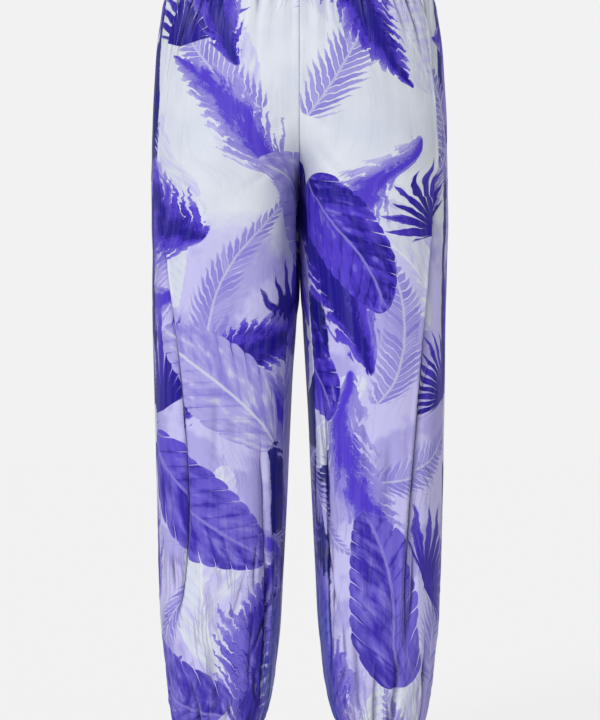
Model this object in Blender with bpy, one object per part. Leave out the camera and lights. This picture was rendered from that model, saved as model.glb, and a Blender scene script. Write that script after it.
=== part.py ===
"""Pull-on satin lounge trousers, filled out as they are when worn, with gathers into an elastic waistband
and into elastic ankle cuffs.

Frame: the origin is the middle of the waist opening, at the waistband's mid height. +Z is up, the front
faces -Y and the wearer's left is at +X. Sizes are in millimetres and become metres when a mesh is made.

Each leg has a front and a back panel. A row of a panel is a level section of the garment: above the crotch
it is half of the hips, from the centre seam to the side seam, and below it is half of one leg's tube, from
the inseam to the side seam. "around" runs along such a row, from 0 at the centre front through 1 at the
side seam to 2 at the centre back.
"""

import math

import bmesh
import bpy
import numpy as np

MM = 0.001

# Driving dimensions, in millimetres.
CLOTH_WALL = 1.6
BAND_HEIGHT = 38.0
BAND_WALL = 3.0
CUFF_HEIGHT = 20.0
CUFF_WALL = 2.6
SEAM_GAP = 0.3
CROTCH_HEIGHT = -316.0
ANKLE_HEIGHT = -1002.0
ROUNDNESS = 2.25  # the power of the superellipse that a section follows
WIDEST_Y = 8.0  # where a section is widest, a little behind the middle
CLEFT = 13.0  # how far the inner front of a leg leans away from the other leg
CLEFT_HALF_WIDTH = 90.0  # on a leg of this half width, and less on a slimmer one
LEG_START_HEIGHT = -170.0  # the legs begin to show in the hips' sections from here down

# One row for each level section. side_x is half of the garment's width, inner_x is half of the gap between
# the legs, which counts from the crotch down, and front_y and back_y are the furthest points forward and
# back.
SECTION_COLUMNS = ("height", "side_x", "inner_x", "front_y", "back_y", "side_seam_y", "inseam_y")
SECTIONS = (
    (-19, 143, 0, -108, 108, -4, 8),
    (-37, 158, 0, -114, 115, -8, 8),
    (-62, 171, 0, -120, 124, -14, 8),
    (-88, 176, 0, -124, 131, -20, 8),
    (-113, 180, 0, -127, 137, -25, 8),
    (-164, 184, 0, -130, 145, -32, 8),
    (-215, 187, 0, -131, 148, -36, 8),
    (-265, 188, 0, -130, 146, -37, 8),
    (-316, 188, 0.8, -127, 138, -37, 8),
    (-350, 188, 1.2, -123, 131, -37, -6),
    (-392, 187, 1.2, -117, 121, -37, -34),
    (-427, 187, 1.4, -113, 113, -36, -46),
    (-470, 186, 4.0, -108, 104, -34, -50),
    (-519, 185, 7.0, -103, 97, -30, -50),
    (-570, 184, 10.0, -99, 93, -24, -46),
    (-697, 182, 16.0, -94, 88, -8, -28),
    (-799, 179, 21.0, -90, 86, 0, -12),
    (-850, 177, 23.5, -88, 85, 2, -6),
    (-900, 172, 28.6, -82, 82, 4, 0),
    (-926, 169, 31.8, -76, 79, 5, 3),
    (-951, 165, 36.8, -67, 74, 6, 5),
    (-975, 159, 45.0, -55, 67, 7, 7),
    (-1002, 144, 60.0, -34, 50, 8, 8),
)

# The seam between the legs, in the middle plane, from the waist to the crotch point at the front and back.
CROTCH_COLUMNS = ("height", "front_y", "back_y")
CROTCH_CURVE = (
    (-19, -108, 108),
    (-62, -120, 123),
    (-113, -126, 135),
    (-164, -129, 142),
    (-200, -127, 143),
    (-225, -122, 140),
    (-245, -112, 134),
    (-262, -97, 124),
    (-278, -75, 109),
    (-292, -50, 90),
    (-304, -24, 64),
    (-312, -6, 42),
    (-316, 8, 8),
)

# Where the panels' rows lie.
WAIST_ROWS = (-19.15, -30, -44, -64, -90)
LEG_ROWS = (
    -130, -175, -215, -244, -266, -284, -299, -309, -316, -328, -352,
    -390, -435, -490, -560, -640, -720, -795, -855, -900,
)  # fmt: skip
ANKLE_ROWS = (-934, -961, -980, -993, -1001.85)

# Gathers. Each column of a panel is the crest or the trough of one.
PANEL_COLUMNS = 24
WAIST_WAVE = 3.0
WAIST_WAVE_FADE = 42.0
ANKLE_WAVE = 2.5
ANKLE_WAVE_FADE = 32.0
WAVE_SPREAD = (0.55, 1.25)  # how uneven the waves are in depth
COLUMN_JITTER = 0.2  # and in spacing, as a share of a column
BAND_RUCHING = (1.0, 0.55, 0.55, 0.8)  # the casings' share of the panels' waves, up or down their height
BAND_DRAW_IN = (0.0, 1.2, 1.2, 0.4)
CUFF_RUCHING = (1.0, 0.6, 0.6, 0.9)
CUFF_DRAW_IN = (0.0, 1.2, 1.4, 0.6)

# The largest folds. around_a to around_d say where each one runs along the rows, at even steps from its top
# to its bottom.
FOLD_COLUMNS = (
    "side", "around_a", "around_b", "around_c", "around_d", "top", "bottom", "half_width", "depth",
)  # fmt: skip
FOLDS = (
    ("left", 0.77, 0.86, 0.68, 0.64, -30, -905, 8, 5.5),
    ("right", 0.70, 0.90, 0.68, 0.76, -30, -870, 8, 5.5),
    ("left", 0.10, 0.13, 0.16, 0.18, -540, -930, 8, 4.0),
    ("right", 0.24, 0.22, 0.22, 0.24, -600, -985, 9, 4.5),
    ("left", 0.74, 0.76, 0.79, 0.82, -840, -990, 8, 3.5),
    ("left", 1.24, 1.20, 1.22, 1.18, -60, -640, 9, 4.5),
    ("right", 1.22, 1.25, 1.19, 1.17, -60, -600, 9, 4.5),
    ("left", 1.62, 1.66, 1.64, 1.67, -330, -930, 10, 5.0),
    ("right", 1.58, 1.61, 1.66, 1.64, -350, -900, 10, 5.0),
    ("right", 1.30, 1.31, 1.35, 1.36, -700, -980, 9, 4.0),
)
FOLD_FADE = 70.0  # a fold's depth fades in and out over this much of its length
FOLD_CROWDING = 1.2  # how much closer a panel's columns lie at a fold
FOLD_CROWD_WIDTH = 0.06
FOLD_CROWD_DEPTH = 4.0  # a fold at least this deep draws the columns fully in

# Between the thighs the two legs nearly touch, and their surfaces wind round each other a little.
WIND_DEPTH = 2.4
WIND_PERIOD = 62.0
WIND_REACH = 26.0
WIND_TOP, WIND_BOTTOM = -330.0, -440.0

# How far apart the points are that a surface's direction is read from, along a row and in height.
RUN_STEP = 0.004
RISE_STEP = 1.5

# The panels' colours: the ground of the print, and the deeper tone of the back.
FRONT_COLOUR = (0.46, 0.42, 0.78, 1.0)
BACK_COLOUR = (0.20, 0.15, 0.55, 1.0)
BAND_COLOUR = (0.72, 0.76, 0.86, 1.0)
CUFF_COLOUR = (0.62, 0.60, 0.84, 1.0)
PANEL_ROUGHNESS = 0.42
CASING_ROUGHNESS = 0.45


def smooth(value, start, end):
    """0 at start, 1 at end, and eased between them."""
    share = np.clip((np.asarray(value, float) - start) / (end - start), 0, 1)
    return share * share * (3 - 2 * share)


def table_at(columns, rows, height):
    """The row of a table at this height, as named sizes, on a smooth curve through the table's rows."""
    data = np.array(sorted(rows, key=lambda row: row[0]), float)
    levels = data[:, 0]
    i = int(np.clip(np.searchsorted(levels, height) - 1, 0, len(levels) - 2))
    slopes = np.gradient(data, levels, axis=0)
    span = levels[i + 1] - levels[i]
    t = np.clip((height - levels[i]) / span, 0, 1)
    values = (
        data[i] * (1 + 2 * t) * (1 - t) ** 2
        + slopes[i] * span * t * (1 - t) ** 2
        + data[i + 1] * t * t * (3 - 2 * t)
        + slopes[i + 1] * span * t * t * (t - 1)
    )
    return dict(zip(columns[1:], values[1:], strict=True))


def rounded(angle):
    """The cosine and sine of an angle, squared up a little, as a superellipse has them."""
    c, s = np.cos(angle), np.sin(angle)
    power = 2 / ROUNDNESS
    return np.sign(c) * np.abs(c) ** power, np.sign(s) * np.abs(s) ** power


def reach_of(sizes, is_front):
    """How far the front or the back of a section lies from where the section is widest."""
    return WIDEST_Y - sizes["front_y"] if is_front else sizes["back_y"] - WIDEST_Y


def oval_half(sizes, height, is_front):
    """The front or back half of the left side of a section, from its inner end to its side. Above the
    crotch the oval reaches past the middle plane, as far as the crotch seam there asks, and is cut off."""
    reach = reach_of(sizes, is_front)
    if height > CROTCH_HEIGHT:
        seam = table_at(CROTCH_COLUMNS, CROTCH_CURVE, height)
        seam_y = seam["front_y"] if is_front else seam["back_y"]
        share = min(abs(seam_y - WIDEST_Y) / reach, 1.0)
        half = sizes["side_x"] / (1 + (1 - share**ROUNDNESS) ** (1 / ROUNDNESS))
    else:
        half = (sizes["side_x"] - sizes["inner_x"]) / 2
    c, s = rounded(np.linspace(math.pi, 0, 361))
    x = sizes["side_x"] - half + half * c
    y = WIDEST_Y + reach * s * (-1 if is_front else 1)
    if is_front:
        lean = CLEFT * half / CLEFT_HALF_WIDTH * float(smooth(height, LEG_START_HEIGHT, CROTCH_HEIGHT))
        x = x + lean * s * np.clip(-c, 0, 1)
    line = np.stack([x, y], axis=1)
    if height <= CROTCH_HEIGHT:
        return line
    last = int(np.max(np.nonzero(x < 0)[0], initial=-1))
    if last < 0:
        return line
    share = x[last] / (x[last] - x[last + 1])
    start = line[last] + (line[last + 1] - line[last]) * share
    return np.vstack([start, line[last + 1 :]])


def half_section(height):
    """The left half of a section, from the centre front or the inseam round the front and the side to the
    centre back or the inseam, and the number of its point at the side seam."""
    sizes = table_at(SECTION_COLUMNS, SECTIONS, height)
    front = oval_half(sizes, height, True)
    back = oval_half(sizes, height, False)[::-1]
    if height <= CROTCH_HEIGHT:
        inner = front[:, 0] < (sizes["side_x"] + sizes["inner_x"]) / 2
        cut = int(np.argmax(inner & (front[:, 1] <= sizes["inseam_y"])))
        back = np.vstack([back, front[1 : cut + 1]])
        front = front[cut:]
    line = np.vstack([front, back[1:]])
    side = len(front) - 1
    while line[side - 1, 1] > sizes["side_seam_y"]:
        side -= 1
    return line, side


def evenly(line, shares):
    """Points at these shares of a line's length."""
    steps = np.linalg.norm(np.diff(line, axis=0), axis=1)
    along = np.concatenate([[0], np.cumsum(steps)])
    at = np.asarray(shares) * along[-1]
    return np.stack([np.interp(at, along, line[:, k]) for k in range(2)], axis=1)


def level_row(height, around):
    """Points of the left half's smooth form at one height, for values of around from 0 to 2, in x and y."""
    line, side = half_section(height)
    around = np.asarray(around, float)
    front = evenly(line[: side + 1], np.clip(around, 0, 1))
    back = evenly(line[side:], np.clip(around - 1, 0, 1))
    return np.where((around <= 1)[:, None], front, back)


def seam_neighbour(height, around):
    """The point that lies across the seam from a point near one end of a row: on the other panel of the same
    leg, or above the crotch on the other side of the middle plane."""
    if height <= CROTCH_HEIGHT:
        return level_row(height, [2 - around])[0]
    return level_row(height, [around])[0] * (-1, 1)


def form(height, around):
    """Points and outward directions of the left half's smooth form at one height."""
    around = np.asarray(around, float)
    below, above = height - RISE_STEP, height + RISE_STEP
    if height > CROTCH_HEIGHT >= below:
        below = height
    if height <= CROTCH_HEIGHT < above:
        above = height
    here = level_row(height, around)
    ahead = level_row(height, np.minimum(around + RUN_STEP, 2))
    behind = level_row(height, np.maximum(around - RUN_STEP, 0))
    ahead[around >= 2] = seam_neighbour(height, 2 - RUN_STEP)
    behind[around <= 0] = seam_neighbour(height, RUN_STEP)
    rise = level_row(above, around) - level_row(below, around)
    run = np.column_stack([ahead - behind, np.zeros(len(around))])
    rise = np.column_stack([rise, np.full(len(around), above - below)])
    out = np.cross(run, rise)
    # Towards the waist seam and the ankle seam it turns level, so that a gather ends on its seam.
    level = max(
        float(smooth(height, WAIST_ROWS[2], WAIST_ROWS[0])),
        float(smooth(height, ANKLE_ROWS[-3], ANKLE_ROWS[-1])),
    )
    out[:, 2] *= 1 - level
    out /= np.linalg.norm(out, axis=1)[:, None]
    return np.column_stack([here, np.full(len(around), height)]), out


def folds_at(side, height):
    """Each fold of one side that passes this height: where it lies, and its half width and depth there."""
    found = []
    for row in FOLDS:
        fold = dict(zip(FOLD_COLUMNS, row, strict=True))
        if fold["side"] != side or not fold["bottom"] < height < fold["top"]:
            continue
        share = (fold["top"] - height) / (fold["top"] - fold["bottom"])
        path = np.polyfit((0, 1 / 3, 2 / 3, 1), [fold[f"around_{step}"] for step in "abcd"], 3)
        ends = smooth(fold["top"] - height, 0, FOLD_FADE) * smooth(height - fold["bottom"], 0, FOLD_FADE)
        found.append((float(np.polyval(path, share)), fold["half_width"], fold["depth"] * float(ends)))
    return found


def fold_depth(side, height, around):
    """How far the folds of one side pull the cloth in, at one height."""
    pull = np.zeros(len(around))
    line, seam = half_section(height)
    steps = np.linalg.norm(np.diff(line, axis=0), axis=1)
    lengths = steps[:seam].sum(), steps[seam:].sum()
    for middle, half_width, depth in folds_at(side, height):
        across = (around - middle) * lengths[int(middle > 1)] / half_width
        pull += depth * np.exp(-across * across)
    return pull


def wind(points):
    """Bends the inner thighs sideways together, so that the narrow gap between them isn't a flat slit."""
    x, y, z = points.T
    level = smooth(z, WIND_TOP + 30, WIND_TOP) * smooth(z, WIND_BOTTOM - 30, WIND_BOTTOM)
    bend = WIND_DEPTH * np.sin(2 * math.pi * (y - WIDEST_Y) / WIND_PERIOD) * level
    moved = points.copy()
    moved[:, 0] = x + bend * np.exp(-((x / WIND_REACH) ** 2))
    return moved


def add_solid(name, rings, closed, colour, roughness):
    """A closed wall from rings of (outer points, inner points), which all have the same number of points.
    The rings either close on themselves or end at two seams."""
    count = len(rings[0][0])
    points = [point for outer, inner in rings for point in (*outer, *inner)]
    steps = count if closed else count - 1
    faces = []
    for i in range(steps):
        j = (i + 1) % count
        for row in range(len(rings) - 1):
            for first in (2 * row * count, (2 * row + 1) * count):
                above = first + 2 * count
                faces.append((first + i, first + j, above + j, above + i))
        for row in (0, len(rings) - 1):
            outer, inner = 2 * row * count, (2 * row + 1) * count
            faces.append((outer + i, outer + j, inner + j, inner + i))
    if not closed:
        for row in range(len(rings) - 1):
            for end in (0, count - 1):
                outer, inner = 2 * row * count + end, (2 * row + 1) * count + end
                faces.append((outer, outer + 2 * count, inner + 2 * count, inner))

    mesh = bpy.data.meshes.new(name)
    mesh.from_pydata([tuple(float(v) * MM for v in p) for p in points], [], faces)
    shape = bmesh.new()
    shape.from_mesh(mesh)
    bmesh.ops.triangulate(shape, faces=shape.faces)
    bmesh.ops.recalc_face_normals(shape, faces=shape.faces)
    shape.to_mesh(mesh)
    shape.free()
    mesh.shade_smooth()
    solid = bpy.data.objects.new(name, mesh)
    bpy.context.scene.collection.objects.link(solid)
    solid.data.materials.append(satin(name, colour, roughness))
    return solid


def satin(name, colour, roughness):
    material = bpy.data.materials.new(name)
    material.use_nodes = True
    shader = material.node_tree.nodes["Principled BSDF"]
    shader.inputs["Base Color"].default_value = colour
    shader.inputs["Roughness"].default_value = roughness
    shader.inputs["Metallic"].default_value = 0.0
    return material


def panel_columns(side, place, height, jitter):
    """Where a panel's columns lie along a row, closer together round its folds."""
    first = 0.0 if place == "front" else 1.0
    grid = np.linspace(first, first + 1, 401)
    density = np.ones(len(grid))
    for middle, _, depth in folds_at(side, height):
        if first < middle < first + 1:
            share = min(depth / FOLD_CROWD_DEPTH, 1)
            density += FOLD_CROWDING * share * np.exp(-(((grid - middle) / FOLD_CROWD_WIDTH) ** 2))
    reach = np.concatenate([[0], np.cumsum((density[1:] + density[:-1]) / 2)])
    at = np.arange(PANEL_COLUMNS + 1) + jitter
    return np.interp(at / PANEL_COLUMNS * reach[-1], reach, grid)


def panel_jitter(random):
    """How far each of a panel's columns lies from its even place. The seams keep theirs."""
    jitter = random.uniform(-COLUMN_JITTER, COLUMN_JITTER, PANEL_COLUMNS + 1)
    jitter[[0, -1]] = 0
    return jitter


def panel_waves(random):
    """A panel's gathers: its columns stand out and in by turns, unevenly, and are level at its seams."""
    waves = random.uniform(*WAVE_SPREAD, PANEL_COLUMNS + 1) * (-1.0) ** np.arange(PANEL_COLUMNS + 1)
    waves[[0, -1]] = 0
    return waves


def gather_depth(height):
    """The gathers' depth at one height: they fade away from the waist seam and from the ankle seam."""
    at_waist = WAIST_WAVE * math.exp(-(WAIST_ROWS[0] - height) / WAIST_WAVE_FADE)
    at_ankle = ANKLE_WAVE * math.exp(-(height - ANKLE_ROWS[-1]) / ANKLE_WAVE_FADE)
    return at_waist + at_ankle


def part_seams(line):
    """Draws the two ends of a row back from their seams."""
    moved = line.copy()
    for end, near in ((0, 1), (-1, -2)):
        step = line[near] - line[end]
        moved[end] = line[end] + step / np.linalg.norm(step) * SEAM_GAP / 2
    return moved


def panel_rings(side, place, jitter, waves):
    """The outer and inner points of each row of a panel."""
    rings = []
    for height in (*WAIST_ROWS, *LEG_ROWS, *ANKLE_ROWS):
        columns = panel_columns(side, place, height, jitter)
        points, out = form(height, columns)
        push = gather_depth(height) * waves - fold_depth(side, height, columns)
        outer = points + out * push[:, None]
        pair = []
        for line in (outer, outer - out * CLOTH_WALL):
            line = part_seams(line)
            line[:, 0] = np.maximum(line[:, 0], SEAM_GAP / 2)
            if side == "right":
                line[:, 0] *= -1
            pair.append(wind(line))
        rings.append(tuple(pair))
    return rings


def add_panels(cut):
    for (side, place), (jitter, waves) in cut.items():
        colour = FRONT_COLOUR if place == "front" else BACK_COLOUR
        add_solid(f"{place}_leg_{side}", panel_rings(side, place, jitter, waves), False, colour, PANEL_ROUGHNESS)


def edge_line(cut, pieces, height):
    """The panels' edge at one height, through several panels: points, level outward directions and waves."""
    points, outs, waves = [], [], []
    for side, place, turned in pieces:
        jitter, wave = cut[side, place]
        line, out = form(height, panel_columns(side, place, height, jitter))
        turn = np.array([1 if side == "left" else -1, 1, 1])
        step = -1 if turned else 1
        keep = slice(None) if not points else slice(1, None)
        points.append((line * turn)[::step][keep])
        outs.append((out * turn)[::step][keep])
        waves.append(wave[::step][keep])
    return np.vstack(points), np.vstack(outs), np.concatenate(waves)


def casing_rings(edge, levels, depths, draw_in, wall, closed):
    """Rings of an elastic casing, which carry the panels' gathers on: one ring for each level."""
    points, out, waves = edge
    rings = []
    for height, depth, inward in zip(levels, depths, draw_in, strict=True):
        outer = points + out * (depth * waves - inward)[:, None]
        outer[:, 2] = height
        pair = [outer, outer - out * wall]
        rings.append(tuple(pair if closed else map(part_seams, pair)))
    return rings


def add_waistband(cut):
    """The elastic casing, in a front and a back length that meet at the side seams."""
    top, bottom = BAND_HEIGHT / 2, -BAND_HEIGHT / 2 + SEAM_GAP / 2
    levels = (bottom, bottom * 0.4, top * 0.4, top)
    depths = [share * WAIST_WAVE for share in BAND_RUCHING]
    for place, turned in (("front", (True, False)), ("back", (False, True))):
        pieces = (("right", place, turned[0]), ("left", place, turned[1]))
        edge = edge_line(cut, pieces, WAIST_ROWS[0])
        rings = casing_rings(edge, levels, depths, BAND_DRAW_IN, BAND_WALL, False)
        add_solid(f"waistband_{place}", rings, False, BAND_COLOUR, CASING_ROUGHNESS)


def add_cuffs(cut):
    """The elastic ankle casings: short ruched tubes."""
    top = ANKLE_HEIGHT - SEAM_GAP / 2
    levels = [top - share * CUFF_HEIGHT for share in (0, 0.35, 0.7, 1)]
    depths = [share * ANKLE_WAVE for share in CUFF_RUCHING]
    for side in ("left", "right"):
        pieces = ((side, "front", False), (side, "back", False))
        points, out, waves = edge_line(cut, pieces, ANKLE_ROWS[-1])
        edge = points[:-1], out[:-1], waves[:-1]
        rings = casing_rings(edge, levels, depths, CUFF_DRAW_IN, CUFF_WALL, True)
        add_solid(f"cuff_{side}", rings, True, CUFF_COLOUR, CASING_ROUGHNESS)


def main():
    for old in list(bpy.data.objects):
        bpy.data.objects.remove(old)
    random = np.random.default_rng(7)
    cut = {}
    for side in ("left", "right"):
        for place in ("front", "back"):
            cut[side, place] = (panel_jitter(random), panel_waves(random))
    add_panels(cut)
    add_waistband(cut)
    add_cuffs(cut)


main()
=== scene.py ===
import math

import bpy
import numpy as np
from bpy.props import FloatProperty, FloatVectorProperty, PointerProperty
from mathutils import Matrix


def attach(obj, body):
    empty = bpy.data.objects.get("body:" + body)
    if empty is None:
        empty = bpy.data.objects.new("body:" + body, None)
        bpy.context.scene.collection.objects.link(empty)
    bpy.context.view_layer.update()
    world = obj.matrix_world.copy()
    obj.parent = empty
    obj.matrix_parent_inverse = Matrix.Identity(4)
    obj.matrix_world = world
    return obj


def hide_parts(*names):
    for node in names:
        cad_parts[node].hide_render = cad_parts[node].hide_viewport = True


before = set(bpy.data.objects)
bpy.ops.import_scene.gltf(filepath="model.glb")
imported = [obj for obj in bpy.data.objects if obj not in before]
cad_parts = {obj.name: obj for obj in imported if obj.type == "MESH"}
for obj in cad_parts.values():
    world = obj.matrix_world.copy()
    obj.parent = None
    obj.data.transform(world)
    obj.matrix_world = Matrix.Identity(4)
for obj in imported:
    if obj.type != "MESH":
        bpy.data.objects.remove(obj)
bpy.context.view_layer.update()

bl_info = {
    "name": "Satin Lounge Trousers",
    "version": (1, 0, 0),
    "blender": (4, 5, 0),
    "location": "View3D > Sidebar > Trousers",
    "description": "Filled-out satin trousers with gathers, folds, casings and a leaf print",
    "category": "Add Mesh",
}

MM = 0.001

# ---- The garment's form, in millimetres: the sections, seams, gathers and long folds of its solids ----

BAND_HEIGHT = 38.0
CUFF_HEIGHT = 20.0
CROTCH_HEIGHT = -316.0
WAIST_HEIGHT = -19.15
ANKLE_HEIGHT = -1001.85
ROUNDNESS = 2.25
WIDEST_Y = 8.0
CLEFT = 12.5
CLEFT_HALF_WIDTH = 90.0
INNER_ROUNDNESS = 3.2  # the cloth turns more sharply at the inner front of each leg than the solids do
INNER_TURN_TOP, INNER_TURN_FULL = -215.0, -300.0
INNER_GAP_FULL = -334.0  # from the crotch down to here the gap between the thighs opens
LEG_START_HEIGHT = -170.0

SECTION_COLUMNS = ("height", "side_x", "inner_x", "front_y", "back_y", "side_seam_y", "inseam_y")
SECTIONS = (
    (-19, 143, 0, -108, 108, -4, 8),
    (-37, 158, 0, -114, 115, -8, 8),
    (-62, 171, 0, -120, 124, -14, 8),
    (-88, 176, 0, -124, 131, -20, 8),
    (-113, 180, 0, -127, 137, -25, 8),
    (-164, 184, 0, -130, 145, -32, 8),
    (-215, 187, 0, -131, 148, -36, 8),
    (-265, 188, 0, -130, 146, -37, 8),
    (-316, 188, 0.8, -127, 138, -37, 8),
    (-350, 188, 1.2, -123, 131, -37, -6),
    (-392, 187, 1.2, -117, 121, -37, -34),
    (-427, 187, 1.4, -113, 113, -36, -46),
    (-470, 186, 4.0, -108, 104, -34, -50),
    (-519, 185, 7.0, -103, 97, -30, -50),
    (-570, 184, 10.0, -99, 93, -24, -46),
    (-697, 182, 16.0, -94, 88, -8, -28),
    (-799, 179, 21.0, -90, 86, 0, -12),
    (-850, 177, 23.5, -88, 85, 2, -6),
    (-900, 172, 28.6, -82, 82, 4, 0),
    (-926, 169, 31.8, -76, 79, 5, 3),
    (-951, 165, 36.8, -67, 74, 6, 5),
    (-975, 159, 45.0, -55, 67, 7, 7),
    (-1002, 144, 60.0, -34, 50, 8, 8),
)
CROTCH_COLUMNS = ("height", "front_y", "back_y")
CROTCH_CURVE = (
    (-19, -108, 108),
    (-62, -120, 123),
    (-113, -126, 135),
    (-164, -129, 142),
    (-200, -127, 143),
    (-225, -122, 140),
    (-245, -112, 134),
    (-262, -97, 124),
    (-278, -75, 109),
    (-292, -50, 90),
    (-304, -24, 64),
    (-312, -6, 42),
    (-316, 8, 8),
)

PANEL_COLUMNS = 24
WAIST_WAVE = 3.0
WAIST_WAVE_FADE = 42.0
ANKLE_WAVE = 2.5
ANKLE_WAVE_FADE = 32.0
WAVE_SPREAD = (0.55, 1.25)
COLUMN_JITTER = 0.2
WIND_DEPTH = 2.4
WIND_PERIOD = 62.0
WIND_REACH = 26.0
WIND_TOP, WIND_BOTTOM = -330.0, -440.0

FOLD_COLUMNS = (
    "side", "around_a", "around_b", "around_c", "around_d", "top", "bottom", "half_width", "depth",
)  # fmt: skip
FOLDS = (
    ("left", 0.77, 0.86, 0.68, 0.64, -30, -905, 8, 5.5),
    ("right", 0.70, 0.90, 0.68, 0.76, -30, -870, 8, 5.5),
    ("left", 0.10, 0.13, 0.16, 0.18, -540, -930, 8, 4.0),
    ("right", 0.24, 0.22, 0.22, 0.24, -600, -985, 9, 4.5),
    ("left", 0.74, 0.76, 0.79, 0.82, -840, -990, 8, 3.5),
    ("left", 1.24, 1.20, 1.22, 1.18, -60, -640, 9, 4.5),
    ("right", 1.22, 1.25, 1.19, 1.17, -60, -600, 9, 4.5),
    ("left", 1.62, 1.66, 1.64, 1.67, -330, -930, 10, 5.0),
    ("right", 1.58, 1.61, 1.66, 1.64, -350, -900, 10, 5.0),
    ("right", 1.30, 1.31, 1.35, 1.36, -700, -980, 9, 4.0),
)
FOLD_FADE = 70.0

# ---- How finely the cloth is made here, and what the solids leave to it ----

ROW_STEPS = (  # from one height to the next, in steps of about so much
    (WAIST_HEIGHT, -60, 1.8),
    (-60, -130, 2.4),
    (-130, -290, 3.2),
    (-290, -308, 1.5),
    (-308, -316, 0.7),
    (-316, -332, 1.6),
    (-332, -900, 3.4),
    (-900, -960, 2.6),
    (-960, ANKLE_HEIGHT, 1.7),
)
GRID_COLUMNS = {"front": 134, "back": 138}
FOLD_CROWDING, FOLD_CROWD_WIDTH = 1.3, 0.07  # columns stand closer round a fold here
SOLID_CROWDING, SOLID_CROWD_WIDTH = 1.2, 0.06  # and in the solids
FULL_CROWDING_DEPTH = 4.0
SEAM_GAP = 0.03


def smooth(value, start, end):
    """0 at start, 1 at end, and eased between them."""
    share = np.clip((np.asarray(value, float) - start) / (end - start), 0, 1)
    return share * share * (3 - 2 * share)


def named(columns, row):
    """A table's row as values named by its columns."""
    return dict(zip(columns, row, strict=True))


def table_slopes(rows):
    """A table's rows from its lowest height up, and how fast each value changes at each row."""
    data = np.array(sorted(rows, key=lambda row: row[0]), float)
    return data, np.gradient(data, data[:, 0], axis=0)


SECTION_TABLE = table_slopes(SECTIONS)
CROTCH_TABLE = table_slopes(CROTCH_CURVE)


def table_at(columns, table, height):
    """The row of a table at this height, as named sizes, on a smooth curve through the table's rows."""
    data, slopes = table
    levels = data[:, 0]
    i = int(np.clip(np.searchsorted(levels, height) - 1, 0, len(levels) - 2))
    span = levels[i + 1] - levels[i]
    t = np.clip((height - levels[i]) / span, 0, 1)
    values = (
        data[i] * (1 + 2 * t) * (1 - t) ** 2
        + slopes[i] * span * t * (1 - t) ** 2
        + data[i + 1] * t * t * (3 - 2 * t)
        + slopes[i + 1] * span * t * t * (t - 1)
    )
    return named(columns[1:], values[1:])


def rounded(angle, inner):
    """The cosine and sine of an angle, squared up a little, as a superellipse has them. The inner half, where
    the cosine is negative, has a roundness of its own."""
    c, s = np.cos(angle), np.sin(angle)
    power = 2 / np.where(c < 0, inner, ROUNDNESS)
    return np.sign(c) * np.abs(c) ** power, np.sign(s) * np.abs(s) ** power


def oval_half(sizes, height, is_front):
    """The front or back half of the left side of a section, from its inner end to its side. Above the
    crotch the oval reaches past the middle plane, as far as the crotch seam there asks, and is cut off."""
    reach = WIDEST_Y - sizes["front_y"] if is_front else sizes["back_y"] - WIDEST_Y
    sharper = float(smooth(height, INNER_TURN_TOP, INNER_TURN_FULL)) if is_front else 0.0
    inner = ROUNDNESS + (INNER_ROUNDNESS - ROUNDNESS) * sharper
    if height > CROTCH_HEIGHT:
        seam = table_at(CROTCH_COLUMNS, CROTCH_TABLE, height)
        seam_y = seam["front_y"] if is_front else seam["back_y"]
        share = min(abs(seam_y - WIDEST_Y) / reach, 1.0)
        half = sizes["side_x"] / (1 + (1 - share**inner) ** (1 / inner))
    else:
        sizes["inner_x"] *= float(smooth(height, CROTCH_HEIGHT, INNER_GAP_FULL))
        half = (sizes["side_x"] - sizes["inner_x"]) / 2
    c, s = rounded(np.linspace(math.pi, 0, 361), inner)
    x = sizes["side_x"] - half + half * c
    y = WIDEST_Y + reach * s * (-1 if is_front else 1)
    if is_front:
        lean = CLEFT * half / CLEFT_HALF_WIDTH * float(smooth(height, LEG_START_HEIGHT, CROTCH_HEIGHT))
        x = x + lean * s * np.clip(-c, 0, 1)
    line = np.stack([x, y], axis=1)
    if height <= CROTCH_HEIGHT:
        return line
    last = int(np.max(np.nonzero(x < 0)[0], initial=-1))
    if last < 0:
        return line
    share = x[last] / (x[last] - x[last + 1])
    start = line[last] + (line[last + 1] - line[last]) * share
    return np.vstack([start, line[last + 1 :]])


def half_section(height):
    """The left half of a section, from the centre front or the inseam round the front and the side to the
    centre back or the inseam, and the number of its point at the side seam."""
    sizes = table_at(SECTION_COLUMNS, SECTION_TABLE, height)
    front = oval_half(sizes, height, True)
    back = oval_half(sizes, height, False)[::-1]
    if height <= CROTCH_HEIGHT:
        inner = front[:, 0] < (sizes["side_x"] + sizes["inner_x"]) / 2
        cut = int(np.argmax(inner & (front[:, 1] <= sizes["inseam_y"])))
        back = np.vstack([back, front[1 : cut + 1]])
        front = front[cut:]
    line = np.vstack([front, back[1:]])
    side = len(front) - 1
    while line[side - 1, 1] > sizes["side_seam_y"]:
        side -= 1
    return line, side


def run_along(line):
    """How far along a line each of its points lies."""
    return np.concatenate([[0], np.cumsum(np.linalg.norm(np.diff(line, axis=0), axis=1))])


def values_at(where, run, values):
    """What a line's values are at these places along it."""
    return np.stack([np.interp(where, run, column) for column in values.T], axis=1)


def evenly(line, shares):
    """Points at these shares of a line's length, and the length."""
    run = run_along(line)
    return values_at(np.asarray(shares) * run[-1], run, line), run[-1]


def fold_path(fold, height):
    """Where a fold lies along the row at this height, and how much of its depth it has there."""
    share = np.clip((fold["top"] - height) / (fold["top"] - fold["bottom"]), 0, 1)
    path = np.polyfit((0, 1 / 3, 2 / 3, 1), [fold[f"around_{step}"] for step in "abcd"], 3)
    ends = smooth(fold["top"] - height, 0, FOLD_FADE) * smooth(height - fold["bottom"], 0, FOLD_FADE)
    return np.polyval(path, share), ends


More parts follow.
